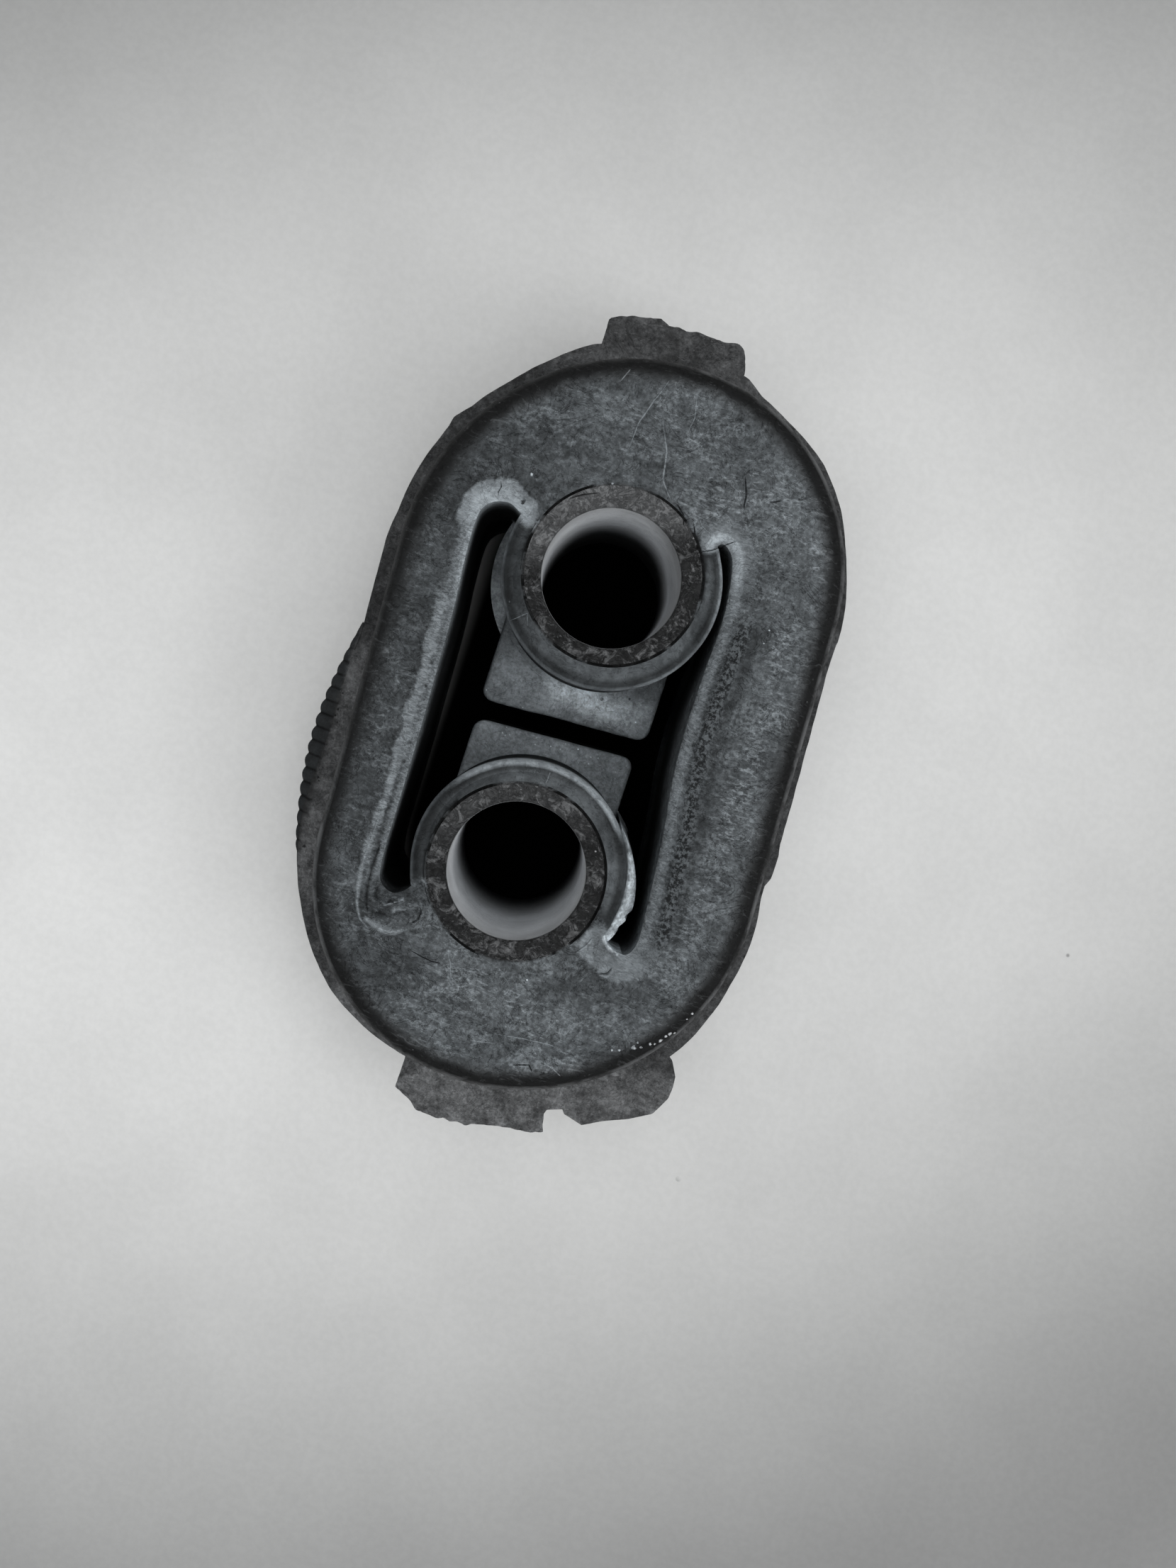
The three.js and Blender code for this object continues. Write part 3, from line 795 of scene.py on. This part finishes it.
def build_mesh(plan, top, bottom):
    """Skins over and under every region, with walls where neighbouring regions differ in height."""
    xy = plan.xy
    stops = [set() for _ in xy]
    for tri, code in zip(plan.tris.tolist(), plan.region.tolist()):
        for v in tri:
            stops[v].add(round(float(top[code][v]), 3))
            stops[v].add(round(float(bottom[code][v]), 3))
    ladders = []
    for own in stops:
        if not own:
            ladders.append([])
            continue
        low, high = min(own), max(own)
        extra = {
            round(z, 3) for z in LEVELS.tolist()
            if low < z < high and min(abs(z - s) for s in own) > LEVEL_CLEARANCE
        }
        ladders.append(sorted(own | extra))

    verts, plan_index, lookup = [], [], {}

    def vertex(v, z):
        key = (v, round(float(z), 3))
        if key not in lookup:
            lookup[key] = len(verts)
            verts.append((xy[v, 0], xy[v, 1], key[1]))
            plan_index.append(v)
        return lookup[key]

    faces = []
    owners = {}
    for tri, code in zip(plan.tris.tolist(), plan.region.tolist()):
        a, b, c = tri
        faces.append((vertex(a, top[code][a]), vertex(b, top[code][b]), vertex(c, top[code][c])))
        faces.append((vertex(a, bottom[code][a]), vertex(c, bottom[code][c]), vertex(b, bottom[code][b])))
        for u, v in ((a, b), (b, c), (c, a)):
            owners.setdefault((u, v), code)

    def wall(u, v, low, high):
        """Wall over the directed edge u to v, seen with its solid on the left."""
        def rungs(w):
            lo, hi = round(float(low[w]), 3), round(float(high[w]), 3)
            return [z for z in ladders[w] if lo - 1e-6 <= z <= hi + 1e-6] if hi >= lo else [lo]
        lu, lv = rungs(u), rungs(v)
        i = j = 0
        while i + 1 < len(lu) or j + 1 < len(lv):
            step_u = j + 1 >= len(lv) or (i + 1 < len(lu) and lu[i + 1] <= lv[j + 1])
            if step_u:
                corner = (vertex(u, lu[i]), vertex(v, lv[j]), vertex(u, lu[i + 1]))
                i += 1
            else:
                corner = (vertex(u, lu[i]), vertex(v, lv[j]), vertex(v, lv[j + 1]))
                j += 1
            if len(set(corner)) == 3:
                faces.append(corner)

    for (u, v), code in owners.items():
        other = owners.get((v, u))
        if other is None:
            wall(u, v, bottom[code], top[code])
        elif other != code and (top[code][u] + top[code][v] > top[other][u] + top[other][v]):
            wall(u, v, np.minimum(top[code], top[other]), top[code])
        if other in (None, code):
            continue
        if bottom[code][u] + bottom[code][v] < bottom[other][u] + bottom[other][v]:
            wall(u, v, bottom[code], np.maximum(bottom[code], bottom[other]))
    return np.array(verts), faces, np.array(plan_index)


def make_object(name, verts, faces):
    mesh = bpy.data.meshes.new(name)
    placed = (verts + [bore_middle[0], bore_middle[1], 0]) * MM
    mesh.from_pydata(placed.tolist(), [], faces)
    mesh.validate()
    obj = bpy.data.objects.new(name, mesh)
    bpy.context.scene.collection.objects.link(obj)
    return obj


def float_attribute(obj, name, values):
    layer = obj.data.attributes.new(name, "FLOAT", "POINT")
    layer.data.foreach_set("value", np.asarray(values, np.float32))


def bore_light_and_shade(x, y, deep, upper):
    """Painted light and shade on a bore's wall by depth from the upper mouth: pale down to half way, then
    dark, and darker towards one side.
    """
    # painted shade on one side of each bore
    if upper:
        deep = deep * (1 + 0.4 * ramp(y, 2, 6))
        side = 1 - 0.45 * ramp(x, 1, 5) * (1 - ramp(deep, 10, 17))
    else:
        side = 1.08 - 0.22 * ramp(x, -4, 5)
    return side * np.interp(deep, *np.array(BORE_LIGHT_AND_SHADE).T)


def zones(plan, verts, plan_index, d_band):
    """Masks for the material from where each vertex lies."""
    x, y, z = verts.T
    p = verts[:, :2]
    d_band = d_band[plan_index]
    names = ("bore", "wall", "collar", "polish", "ring", "edge_highlight", "groove", "turn")
    found = {name: np.zeros(len(verts)) for name in names}
    depth = np.minimum(HEIGHT - z, z)
    end = depth < 4
    open_side = ramp(plan.in_void[plan_index], -0.2, 1.4)
    by_slot = inside(grown(plan.cavity, 1.4), p)
    on_plate = np.zeros(len(verts), bool)
    for hub in HUBS:
        rb, rc, r, rf = (from_middle(hub, part, p) for part in ("bore", "collar", "hub", "flash"))
        radius = hub["hub"][2]
        on_plate |= rf < hub["flash"][2] + 0.02
        found["bore"] += (rb < BORE_RADIUS + 0.03) & (depth > 0.2)
        tone = bore_light_and_shade(x, y - hub["y"], HEIGHT - z, hub["y"] > 0)
        # the wall mask carries the painted light and shade of the bore
        found["wall"] += (rb < BORE_RADIUS + 0.03) * tone

        # collar, its polished side and the groove round it
        on_collar = (rb > BORE_RADIUS + 0.03) & (rc < COLLAR_RADIUS + 0.01) & end
        found["collar"] += on_collar
        turned = y - hub["y"] - 0.5 * x
        found["polish"] += on_collar * ramp(turned, 1.5, 5.5) * (0.9 if hub["y"] > 0 else 0.25)
        in_groove = np.abs(rc - COLLAR_RADIUS - GROOVE_WIDTH / 2) < GROOVE_WIDTH / 2 + 0.02
        found["groove"] += in_groove & end & (depth > COLLAR_HEIGHT + 0.05)

        # ring, painted shade where it turns down and a painted highlight on its edge over the slots
        on_hub = (r < radius + 0.02) * end
        found["ring"] += (rc > COLLAR_RADIUS + 0.01) * on_hub * (0.5 + 0.5 * ramp(x, -8, -2)) * open_side
        by_ledge = ramp(x, 3, 6) * (hub["y"] < 0)
        foot = 1 - ramp(r, radius - 0.3 + 0.25 * by_ledge, radius)
        # painted shade where the ring turns down
        found["turn"] += ramp(r, radius - 1.2, radius - 0.7) * foot * on_hub * open_side
        over_pad = (hub["y"] < 0) * ramp(y, -9, -6)
        right_side = ramp(x, 4, 7) * (1 - ramp(y, -2, 14) + ramp(y, 10, 14))
        # painted highlight on the hub's edge, stronger on the right side
        highlight_side = np.maximum((0.3 + 0.7 * right_side) * (1 - 0.9 * by_ledge), over_pad)
        edge = ramp(r, radius - 0.4 - 0.3 * over_pad, radius - 0.08 - 0.3 * over_pad)
        edge *= (r < radius + 0.1) * end * open_side
        found["edge_highlight"] += edge * by_slot * highlight_side

    # upper face: thinner bloom on the left, painted shade on the rounded shoulder and a painted highlight
    # line where it turns down
    within = inside(grown(plan.band, -0.02), p)
    dusty_left = ramp(-x, 10, 16) * (1 - ramp(y, 8, 14))
    # painted shade on the rounded edge of the upper face
    found["edge_shade"] = np.clip(1 - d_band / 2.8, 0, 1) * (depth < 3.2) * (1 - 0.3 * dusty_left)
    # painted highlight along the edge where the face turns down, stronger on the right and low side
    right_or_low = np.maximum(ramp(x, -4, 4), 0.25 + 0.75 * ramp(-y, 4, 12))
    found["rim"] = (d_band < 0.3) * (z > 28) * (z < 31) * right_or_low
    bloomed = ramp(x, -13.5, -2) * (1 - 0.35 * bump(x, y, 14, -3, 4, 7))
    thin = (1 - bloomed) * (1 - 0.4 * ramp(y, 14, 22)) + 0.35 * bump(x, y, -10, -23, 5, 5)
    found["thin"] = np.clip(thin, 0, 1)

    # dust and painted light on the pads, the flash of the hubs and the folded flash
    for pad in plan.pads:
        on_plate |= inside(grown(pad, 0.02), p)
        # painted highlight along the pads' edges at the gap
        gap_edge = (distance(pad, p) < 0.3) * (np.abs(y) < 3) * (y < -1.2)
        found["edge_highlight"] += 0.8 * (z > PARTING - 0.5) * (z < PARTING + 0.1) * gap_edge
    in_void = within & inside(grown(plan.cavity, 0.02), p) & (found["bore"] < 1)
    dust_and_light = 1.0 * (in_void & (np.abs(z - PARTING) < 0.55) & on_plate)
    # painted pool of light on the pads, partly dust
    found["dust_and_light_pool"] = dust_and_light * np.clip(
        1.25 * bump(x, y, 1.6, 2.9, 4.6, 1.5) + 0.15 * bump(x, y, -5.5, 3, 2.6, 2.4)
        + 0.25 * bump(x, y, 7, 3.5, 2, 2) + 0.4 * (x < -8.3) + 0.2 * (y < -1.2) * (x > -8), 0, 1)
    on_flash = from_middle(LOWER_HUB, "flash", p) < LOWER_HUB["flash"][2] + 0.03
    off_hub = from_middle(LOWER_HUB, "hub", p) > LOWER_HUB["hub"][2] + 0.02
    by_ledge = in_void & on_flash & off_hub & (x > 3) & (y < -3)
    on_ledge = by_ledge & (z > 24) & (depth > 1)
    # painted light on the folded flash of the lower hub
    found["side"] = 1.0 * on_ledge
    found["dust_and_light"] = dust_and_light * ~(by_ledge & (x > 7) & (y < -8))

    # flash round the band, and painted shade deep inside
    found["plate"] = 1.0 * ((np.abs(z - PARTING) < 0.4) & ~within)
    found["pale_plate"] = found["plate"] * np.clip(
        ramp(-y, 28, 31) + 0.75 * ramp(3 - y, 0, 3) * (x < -17) * (y > -24) + 0.35 * ramp(y, 31, 33), 0, 1)
    # painted shade on the cavity walls, darker with depth
    away = np.where(x > 3, ramp(depth, 4, 13), ramp(depth, 2.4, 8))
    found["inner"] = within * away * (found["bore"] < 1) * (found["dust_and_light"] < 1) * ~on_ledge
    clean = found["collar"] + found["plate"] + found["edge_shade"] + found["bore"]
    found["neutral"] = np.clip(clean, 0, 1)
    return found


plan = Plan()
top, bottom, marks, d_band = heights(plan)
verts, faces, plan_index = build_mesh(plan, top, bottom)
moulding = make_object("rubber_moulding", verts, faces)
print("moulding:", len(moulding.data.vertices), "vertices,", len(moulding.data.polygons), "triangles")
upper_side = verts[:, 2] > PARTING - 4
marks["wear_and_highlight"] *= 1 - ramp(plan.in_void, 0.1, 0.9)
fade = 1 - 0.6 * ramp(HEIGHT - verts[:, 2], 1.5, 5)
float_attribute(moulding, "wear_and_highlight", marks.pop("wear_and_highlight")[plan_index] * upper_side * fade)
for name, values in marks.items():
    float_attribute(moulding, name, values[plan_index] * upper_side)
for name, values in zones(plan, verts, plan_index, d_band).items():
    float_attribute(moulding, name, values)
for polygon in moulding.data.polygons:
    polygon.use_smooth = True
moulding.data.set_sharp_from_angle(angle=math.radians(SHARP_ANGLE))


class Shading:
    """Short ways to lay nodes in a material or in the world."""

    def __init__(self, owner, shader="Principled BSDF", place="Object"):
        owner.use_nodes = True
        self.owner = owner
        self.nodes = owner.node_tree.nodes
        self.links = owner.node_tree.links
        self.shader = self.nodes[shader]
        self.place = self.add("TexCoord", {}, place)
        self.tone = None

    def feed(self, socket, value):
        if isinstance(value, bpy.types.NodeSocket):
            self.links.new(value, socket)
        else:
            socket.default_value = value

    def add(self, kind, inputs, output=0, **settings):
        """Output of a new node, with its inputs linked or set by name or number."""
        node = self.nodes.new("ShaderNode" + kind)
        for name, value in settings.items():
            setattr(node, name, value)
        for key, value in inputs.items():
            self.feed(node.inputs[key], value)
        return node.outputs[output]

    def set(self, name, value):
        self.feed(self.shader.inputs[name], value)

    def mask(self, name):
        return self.add("Attribute", {}, "Fac", attribute_name=name)

    def op(self, operation, *values):
        return self.add("Math", dict(enumerate(values)), operation=operation)

    def times(self, *values):
        total = values[0]
        for value in values[1:]:
            total = self.op("MULTIPLY", total, value)
        return total

    def plus(self, *values):
        total = values[0]
        for value in values[1:]:
            total = self.op("ADD", total, value)
        return total

    def step(self, value, low, high, start=0.0, stop=1.0):
        inputs = {"Value": value, "From Min": low, "From Max": high, "To Min": start, "To Max": stop}
        return self.add("MapRange", inputs, interpolation_type="SMOOTHSTEP")

    def vary(self, noise, low, high):
        """Factor that wanders between two values with a noise."""
        return self.step(noise, 0.3, 0.7, low, high)

    def blend(self, share, first, second):
        """Mix of two tones."""
        return self.add("Mix", {0: share, 2: first, 3: second})

    def cover(self, name, layer, *shares):
        """Lays a layer over the tone so far, where a mask says so."""
        self.tone = self.blend(self.times(self.mask(name), *shares), self.tone, layer)

    def noise(self, size_mm, detail=4.0, roughness=0.6, stretch=None, distortion=0.0):
        """Noise with features of about the size; stretch gives a turn in degrees and how much finer."""
        where = self.place
        if stretch:
            turn, finer = (0, 0, math.radians(stretch[0])), (1, stretch[1], 1)
            where = self.add("Mapping", {"Vector": where, "Rotation": turn, "Scale": finer})
        return self.add("TexNoise", {
            "Vector": where, "Scale": 1 / (size_mm * MM), "Detail": detail, "Roughness": roughness,
            "Distortion": distortion,
        })

    def cells(self, size_mm):
        inputs = {"Vector": self.place, "Scale": 1 / (size_mm * MM)}
        return self.add("TexVoronoi", inputs, "Distance")

    def along(self, axis, where=None):
        """Place along one axis."""
        return self.add("SeparateXYZ", {0: self.place if where is None else where}, axis)

    def veins(self, noise, width):
        """Thin lines where a noise passes its middle."""
        return self.step(self.op("ABSOLUTE", self.op("SUBTRACT", noise, 0.5)), width, 0.0)

    def tinted(self, tone, cast):
        """Colour of the shader: grey of the tone with a slight cast."""
        names = ("Red", "Green", "Blue")
        grey = {name: self.op("MULTIPLY", tone, share) for name, share in zip(names, cast)}
        self.set("Base Color", self.add("CombineColor", grey))


def rubber_material():
    """Aged black rubber: dusty bloom on the flats, painted shade on the rounded edges, pale where it is
    worn, and painted highlights, light and shade in slots, hubs, bores and recesses.
    """
    s = Shading(bpy.data.materials.new("aged_rubber"))
    mottle = s.noise(3.2, 8, 0.7)
    small = s.noise(1.1, 7, 0.74)
    cloud = s.noise(9.0, 3, 0.55)
    grain = s.noise(0.4, 5, 0.78)
    fibre = s.noise(2.0, 8, 0.74, (35, 3.0), 1.8)
    dashes = s.noise(0.8, 6, 0.74, (8, 2.8), 0.5)
    hairs = s.noise(0.7, 7, 0.78, (74, 3.0), 1.2)
    scuffs = s.step(s.noise(4.5, 9, 0.72, (75, 1.8), 0.9), 0.53, 0.57)
    veins = s.veins(s.noise(2.6, 3, 0.6, distortion=1.4), 0.012)
    creases = s.veins(s.noise(3.4, 4, 0.65, distortion=2.0), 0.01)

    # bloom and scuffs of the top face, thinner on the left
    face = s.blend(s.step(mottle, 0.36, 0.64), 0.05, 0.084)
    face = s.times(face, s.step(small, 0.32, 0.68, 0.72, 1.32), s.vary(cloud, 0.84, 1.18))
    face = s.plus(
        face,
        s.times(s.step(fibre, 0.54, 0.6), s.step(cloud, 0.42, 0.6, 0.12, 1.0), 0.08),
        s.times(s.step(hairs, 0.56, 0.62), s.step(mottle, 0.45, 0.6), 0.06),
        s.times(s.step(dashes, 0.5, 0.58), s.mask("streak"), 0.13),
        s.times(s.step(fibre, 0.48, 0.58), s.mask("wrinkle"), 0.07),
        s.times(scuffs, s.step(grain, 0.35, 0.6), 0.045),
        s.times(veins, s.step(cloud, 0.45, 0.6, 0.2, 1.0), 0.045),
    )
    face = s.times(face, s.step(creases, 0.0, 1.0, 1.0, 0.6), s.vary(grain, 0.62, 1.38))
    face = s.times(face, s.step(s.mask("thin"), 0.0, 1.0, 1.06, 0.58))

    # painted shade on the rounded edge, with some dust left on it, and a painted highlight line where it
    # turns down
    dark = s.times(s.blend(s.step(fibre, 0.54, 0.68), 0.008, 0.04), s.vary(grain, 0.7, 1.3))
    uneven = s.times(s.op("SUBTRACT", mottle, 0.5), 0.6)
    s.tone = s.blend(s.step(s.plus(s.mask("edge_shade"), uneven), 0.08, 0.62), face, dark)
    # painted highlight line on the edge of the upper face
    s.cover("rim", 0.13, s.step(mottle, 0.38, 0.6, 0.1, 0.85))

    # pale worn rubber and painted highlights along the slots, crinkled and with a gutter on the right
    worn = s.blend(s.step(hairs, 0.42, 0.6), s.step(s.mask("end"), 0.0, 1.0, 0.12, 0.16), 0.24)
    worn = s.times(worn, s.vary(small, 0.8, 1.2), s.step(s.mask("wear_and_highlight"), 0.85, 1.25, 1.0, 1.6))
    hairy = s.times(s.op("SUBTRACT", hairs, 0.5), 0.9)
    frayed = s.plus(hairy, s.times(s.op("SUBTRACT", grain, 0.5), 0.7))
    frayed = s.times(frayed, s.step(s.mask("end"), 0.0, 1.0, 1.0, 0.4))
    wear_and_highlight = s.step(s.plus(s.mask("wear_and_highlight"), frayed), 0.08, 0.95)
    s.tone = s.blend(s.times(wear_and_highlight, s.step(s.mask("wear_and_highlight"), 0.0, 0.15)), s.tone, worn)
    s.cover("crinkle", s.blend(s.step(grain, 0.46, 0.56), 0.009, 0.11), 0.9)
    # dark gutter, and painted shade in the hollows between the torn rolls
    s.cover("gutter", 0.012, s.step(small, 0.3, 0.6, 0.95, 0.55))

    # hubs: smooth ring with painted shade where it turns down to a painted highlight on its lip, rough
    # collar with lighter flakes, bore with painted light and shade
    ring = s.times(s.step(mottle, 0.32, 0.68, 0.05, 0.1), s.vary(small, 0.7, 1.3), s.mask("ring"))
    s.tone = s.blend(s.step(s.mask("ring"), 0.0, 0.5, 0.0, 0.92), s.tone, ring)
    # painted shade where the ring turns down
    s.cover("turn", 0.011, s.step(mottle, 0.3, 0.6, 0.98, 0.7))
    flakes = s.step(s.noise(1.2, 9, 0.78, distortion=0.8), 0.46, 0.56)
    rough = s.times(s.blend(flakes, 0.014, 0.075), s.vary(small, 0.5, 1.5), s.vary(grain, 0.6, 1.4))
    rough = s.plus(rough, s.times(s.step(hairs, 0.58, 0.64), 0.09))
    smoothed = s.times(s.step(mottle, 0.34, 0.66, 0.1, 0.15), s.vary(grain, 0.75, 1.25))
    polish = s.times(s.mask("polish"), s.step(small, 0.3, 0.5, 0.6, 1.0))
    s.cover("collar", s.blend(polish, rough, smoothed))
    s.cover("groove", 0.006)
    # painted highlight on the edges of the hubs and pads
    s.cover("edge_highlight", 0.4, s.step(small, 0.35, 0.6, 0.55, 1.0))
    # painted light and shade on the bore walls
    wall = s.times(s.mask("wall"), s.vary(s.noise(5.0, 3), 0.88, 1.06), s.step(grain, 0.2, 0.8, 0.92, 1.06))
    s.cover("bore", wall)

    # parting plane: pads with dust and painted light, painted light on the folded flash of the lower hub,
    # and flash with torn edges
    # dust with a painted pool of light on the pads
    dust_and_light_pool = s.times(s.mask("dust_and_light_pool"), s.step(mottle, 0.36, 0.62, 0.2, 0.62))
    dust_and_light = s.plus(s.vary(small, 0.1, 0.2), dust_and_light_pool)
    s.cover("dust_and_light", s.times(dust_and_light, s.step(grain, 0.3, 0.75, 0.75, 1.25)))
    # painted light on the folded flash of the lower hub
    s.cover("side", s.times(s.step(small, 0.32, 0.68, 0.28, 0.8), s.vary(grain, 0.7, 1.3)))
    plate = s.times(
        s.step(mottle, 0.36, 0.64, 0.026, 0.06), s.step(s.mask("pale_plate"), 0.0, 1.0, 1.0, 2.1),
        s.step(small, 0.32, 0.68, 0.65, 1.35), s.vary(grain, 0.7, 1.3),
    )
    s.cover("plate", s.plus(plate, s.times(s.step(hairs, 0.57, 0.64), 0.05)))
    row = s.plus(s.along(1), -(bore_middle[1] + SWELL_TOP) * MM)
    ribs = s.op("ABSOLUTE", s.op("SINE", s.times(row, math.pi / (SERRATION_PITCH * MM))))
    # painted shade in the roots between the scallop teeth
    s.cover("tooth", s.times(s.step(ribs, 0.0, 0.45, 0.004, 0.022), s.vary(small, 0.7, 1.3)))
    # painted shade deep inside the cavity
    s.cover("inner", s.step(mottle, 0.35, 0.7, 0.003, 0.01))

    # marks
    speckles = s.times(s.step(s.cells(1.5), 0.07, 0.04), s.step(cloud, 0.46, 0.58))
    amount = s.plus(s.mask("dust_and_light"), s.times(s.mask("collar"), 0.5), 0.1)
    tiny = s.times(s.step(s.cells(0.75), 0.12, 0.07), s.mask("specky"), s.mask("dust_and_light"), 0.7)
    s.tone = s.plus(s.tone, s.times(speckles, amount, 0.5), tiny)
    s.cover("scratch", 0.27, s.step(grain, 0.32, 0.56, 0.3, 1.0))
    # painted highlights on the raised ridges of torn rubber
    s.cover("ridge_highlight", s.step(hairs, 0.4, 0.6, 0.15, 0.34), s.step(small, 0.32, 0.6, 0.6, 1.0))
    s.cover("cut", 0.008, s.step(grain, 0.3, 0.6, 1.0, 0.75))
    s.cover("speck", 0.48)
    red = s.step(s.mask("neutral"), 0.0, 1.0, 0.9, 0.97)
    blue = s.step(s.mask("neutral"), 0.0, 1.0, 1.07, 1.03)
    s.tinted(s.tone, (red, 1.0, blue))

    s.set("Roughness", s.plus(s.vary(grain, 0.6, 0.72), s.times(s.mask("wear_and_highlight"), 0.12)))
    s.set("Specular IOR Level", 0.12)
    relief = s.plus(
        grain, s.times(small, 1.4), s.times(flakes, s.mask("collar"), 2.0), s.times(fibre, 0.8),
        s.times(ribs, s.mask("tooth"), 3.0), s.times(creases, -0.8), s.times(small, s.mask("crinkle"), 4.0),
    )
    s.set("Normal", s.add("Bump", {"Strength": 0.85, "Distance": 0.07 * MM, "Height": relief}))
    return s.owner


moulding.data.materials.append(rubber_material())
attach(moulding, "root")
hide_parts("hanger_rubber")


# Stage

# The camera stands nearly straight over the part, turned as in the photograph
VIEW_TURN = math.radians(18.03)
CAMERA_EYE = (-1.808, 1.004, 177.984)
CAMERA_AIM = (3.553, -4.158, HEIGHT)
CAMERA_LENS = 39.06

# The floor's tone is the exponent of a slope and a bend, in metres along the photograph's sides
FLOOR_HALF = 1.5
# painted falloff of light across the floor
FLOOR_START, FLOOR_SLOPE = -0.35, (-1.69, 0.195)
FLOOR_BEND = (-53.0, -115.0, 29.2)
FLOOR_DARKEST = -1.5
# painted shadow under the part: its floor tone and how far out it fades
FLOOR_SHADOW_TONE = 0.002
SHADOW_FADE = (0.0125, 0.0165)

# The world's strength by height, as two steps that add up, and the lamp on the right in metres and watts
SKY_STEPS = ((0.3, 0.55, 0.2, 0.75), (0.86, 0.97, 0.0, 1.85))
LAMP_PLACE = (0.34, -0.06, 0.42)
LAMP_SIZE = 0.3
LAMP_POWER = 0.9


def place_camera():
    eye, aim = Vector(CAMERA_EYE), Vector(CAMERA_AIM)
    look = (aim - eye).normalized()
    up = Vector((-math.sin(VIEW_TURN), math.cos(VIEW_TURN), 0))
    side = look.cross(up).normalized()
    up = side.cross(look)
    rotation = Matrix((side, up, -look)).transposed().to_4x4()
    shift = Vector((bore_middle[0], bore_middle[1], 0))
    data = bpy.data.cameras.new("camera")
    data.sensor_width = 36
    data.lens = CAMERA_LENS
    data.clip_start = 0.01
    camera = bpy.data.objects.new("camera", data)
    camera.matrix_world = Matrix.Translation((eye + shift) * MM) @ rotation
    bpy.context.scene.collection.objects.link(camera)
    bpy.context.scene.camera = camera


def place_floor():
    """Pale floor with a painted falloff of light, a little darker away from the part, and a painted shadow
    under the part.
    """
    mesh = bpy.data.meshes.new("floor")
    corners = [(x * FLOOR_HALF, y * FLOOR_HALF, 0) for x, y in ((-1, -1), (1, -1), (1, 1), (-1, 1))]
    mesh.from_pydata(corners, [], [(0, 1, 2, 3)])
    floor = bpy.data.objects.new("floor", mesh)
    s = Shading(bpy.data.materials.new("pale_floor"))
    turned = s.add("Mapping", {"Vector": s.place, "Rotation": (0, 0, -VIEW_TURN)})
    u, v = s.along(0, turned), s.along(1, turned)
    # painted falloff of light across the floor
    slope = s.plus(FLOOR_START, s.times(u, FLOOR_SLOPE[0]), s.times(v, FLOOR_SLOPE[1]))
    bend = s.plus(*(s.times(*pair, by) for pair, by in zip(((u, u), (v, v), (u, v)), FLOOR_BEND)))
    tone = s.op("EXPONENT", s.op("SMOOTH_MAX", s.plus(slope, bend), FLOOR_DARKEST, 0.3))
    cloth = s.times(s.vary(s.noise(18.0, 4, 0.6), 0.97, 1.03), s.vary(s.noise(0.8, 3), 0.975, 1.025))
    dirt = s.times(s.step(s.cells(9.0), 0.05, 0.03), s.step(s.noise(20.0, 2), 0.56, 0.6))
    tone = s.times(tone, cloth, s.step(dirt, 0.0, 1.0, 1.0, 0.45))

    # painted shadow on the floor under the part: stadium round its two ends
    across = s.plus(s.along(0), -(bore_middle[0] + BAND_X) * MM)
    length = s.op("ABSOLUTE", s.plus(s.along(1), -(bore_middle[1] + BAND_Y) * MM))
    beyond = s.op("MAXIMUM", s.plus(length, -HALF_STRAIGHT * MM), 0.0)
    squared = s.plus(s.times(across, across), s.times(beyond, beyond))
    under = s.step(s.op("SQRT", squared), *SHADOW_FADE)
    s.tinted(s.times(tone, s.blend(under, FLOOR_SHADOW_TONE, 1.0)), (0.99, 1.0, 0.995))
    s.set("Roughness", 0.9)
    s.set("Specular IOR Level", 0.0)
    mesh.materials.append(s.owner)
    bpy.context.scene.collection.objects.link(floor)


def light_scene():
    """Soft light from all round, strongest from straight above, and a lamp on the right."""
    s = Shading(bpy.data.worlds.new("studio"), "Background", "Generated")
    s.set("Strength", s.plus(*(s.step(s.along(2), *levels) for levels in SKY_STEPS)))
    s.set("Color", (1, 1, 1, 1))
    bpy.context.scene.world = s.owner
    data = bpy.data.lights.new("key", "AREA")
    data.size = LAMP_SIZE
    data.energy = LAMP_POWER
    lamp = bpy.data.objects.new("key", data)
    lamp.location = LAMP_PLACE
    lamp.rotation_euler = lamp.location.to_track_quat("Z", "Y").to_euler()
    bpy.context.scene.collection.objects.link(lamp)


place_camera()
place_floor()
light_scene()
bpy.context.scene.view_settings.view_transform = "Standard"
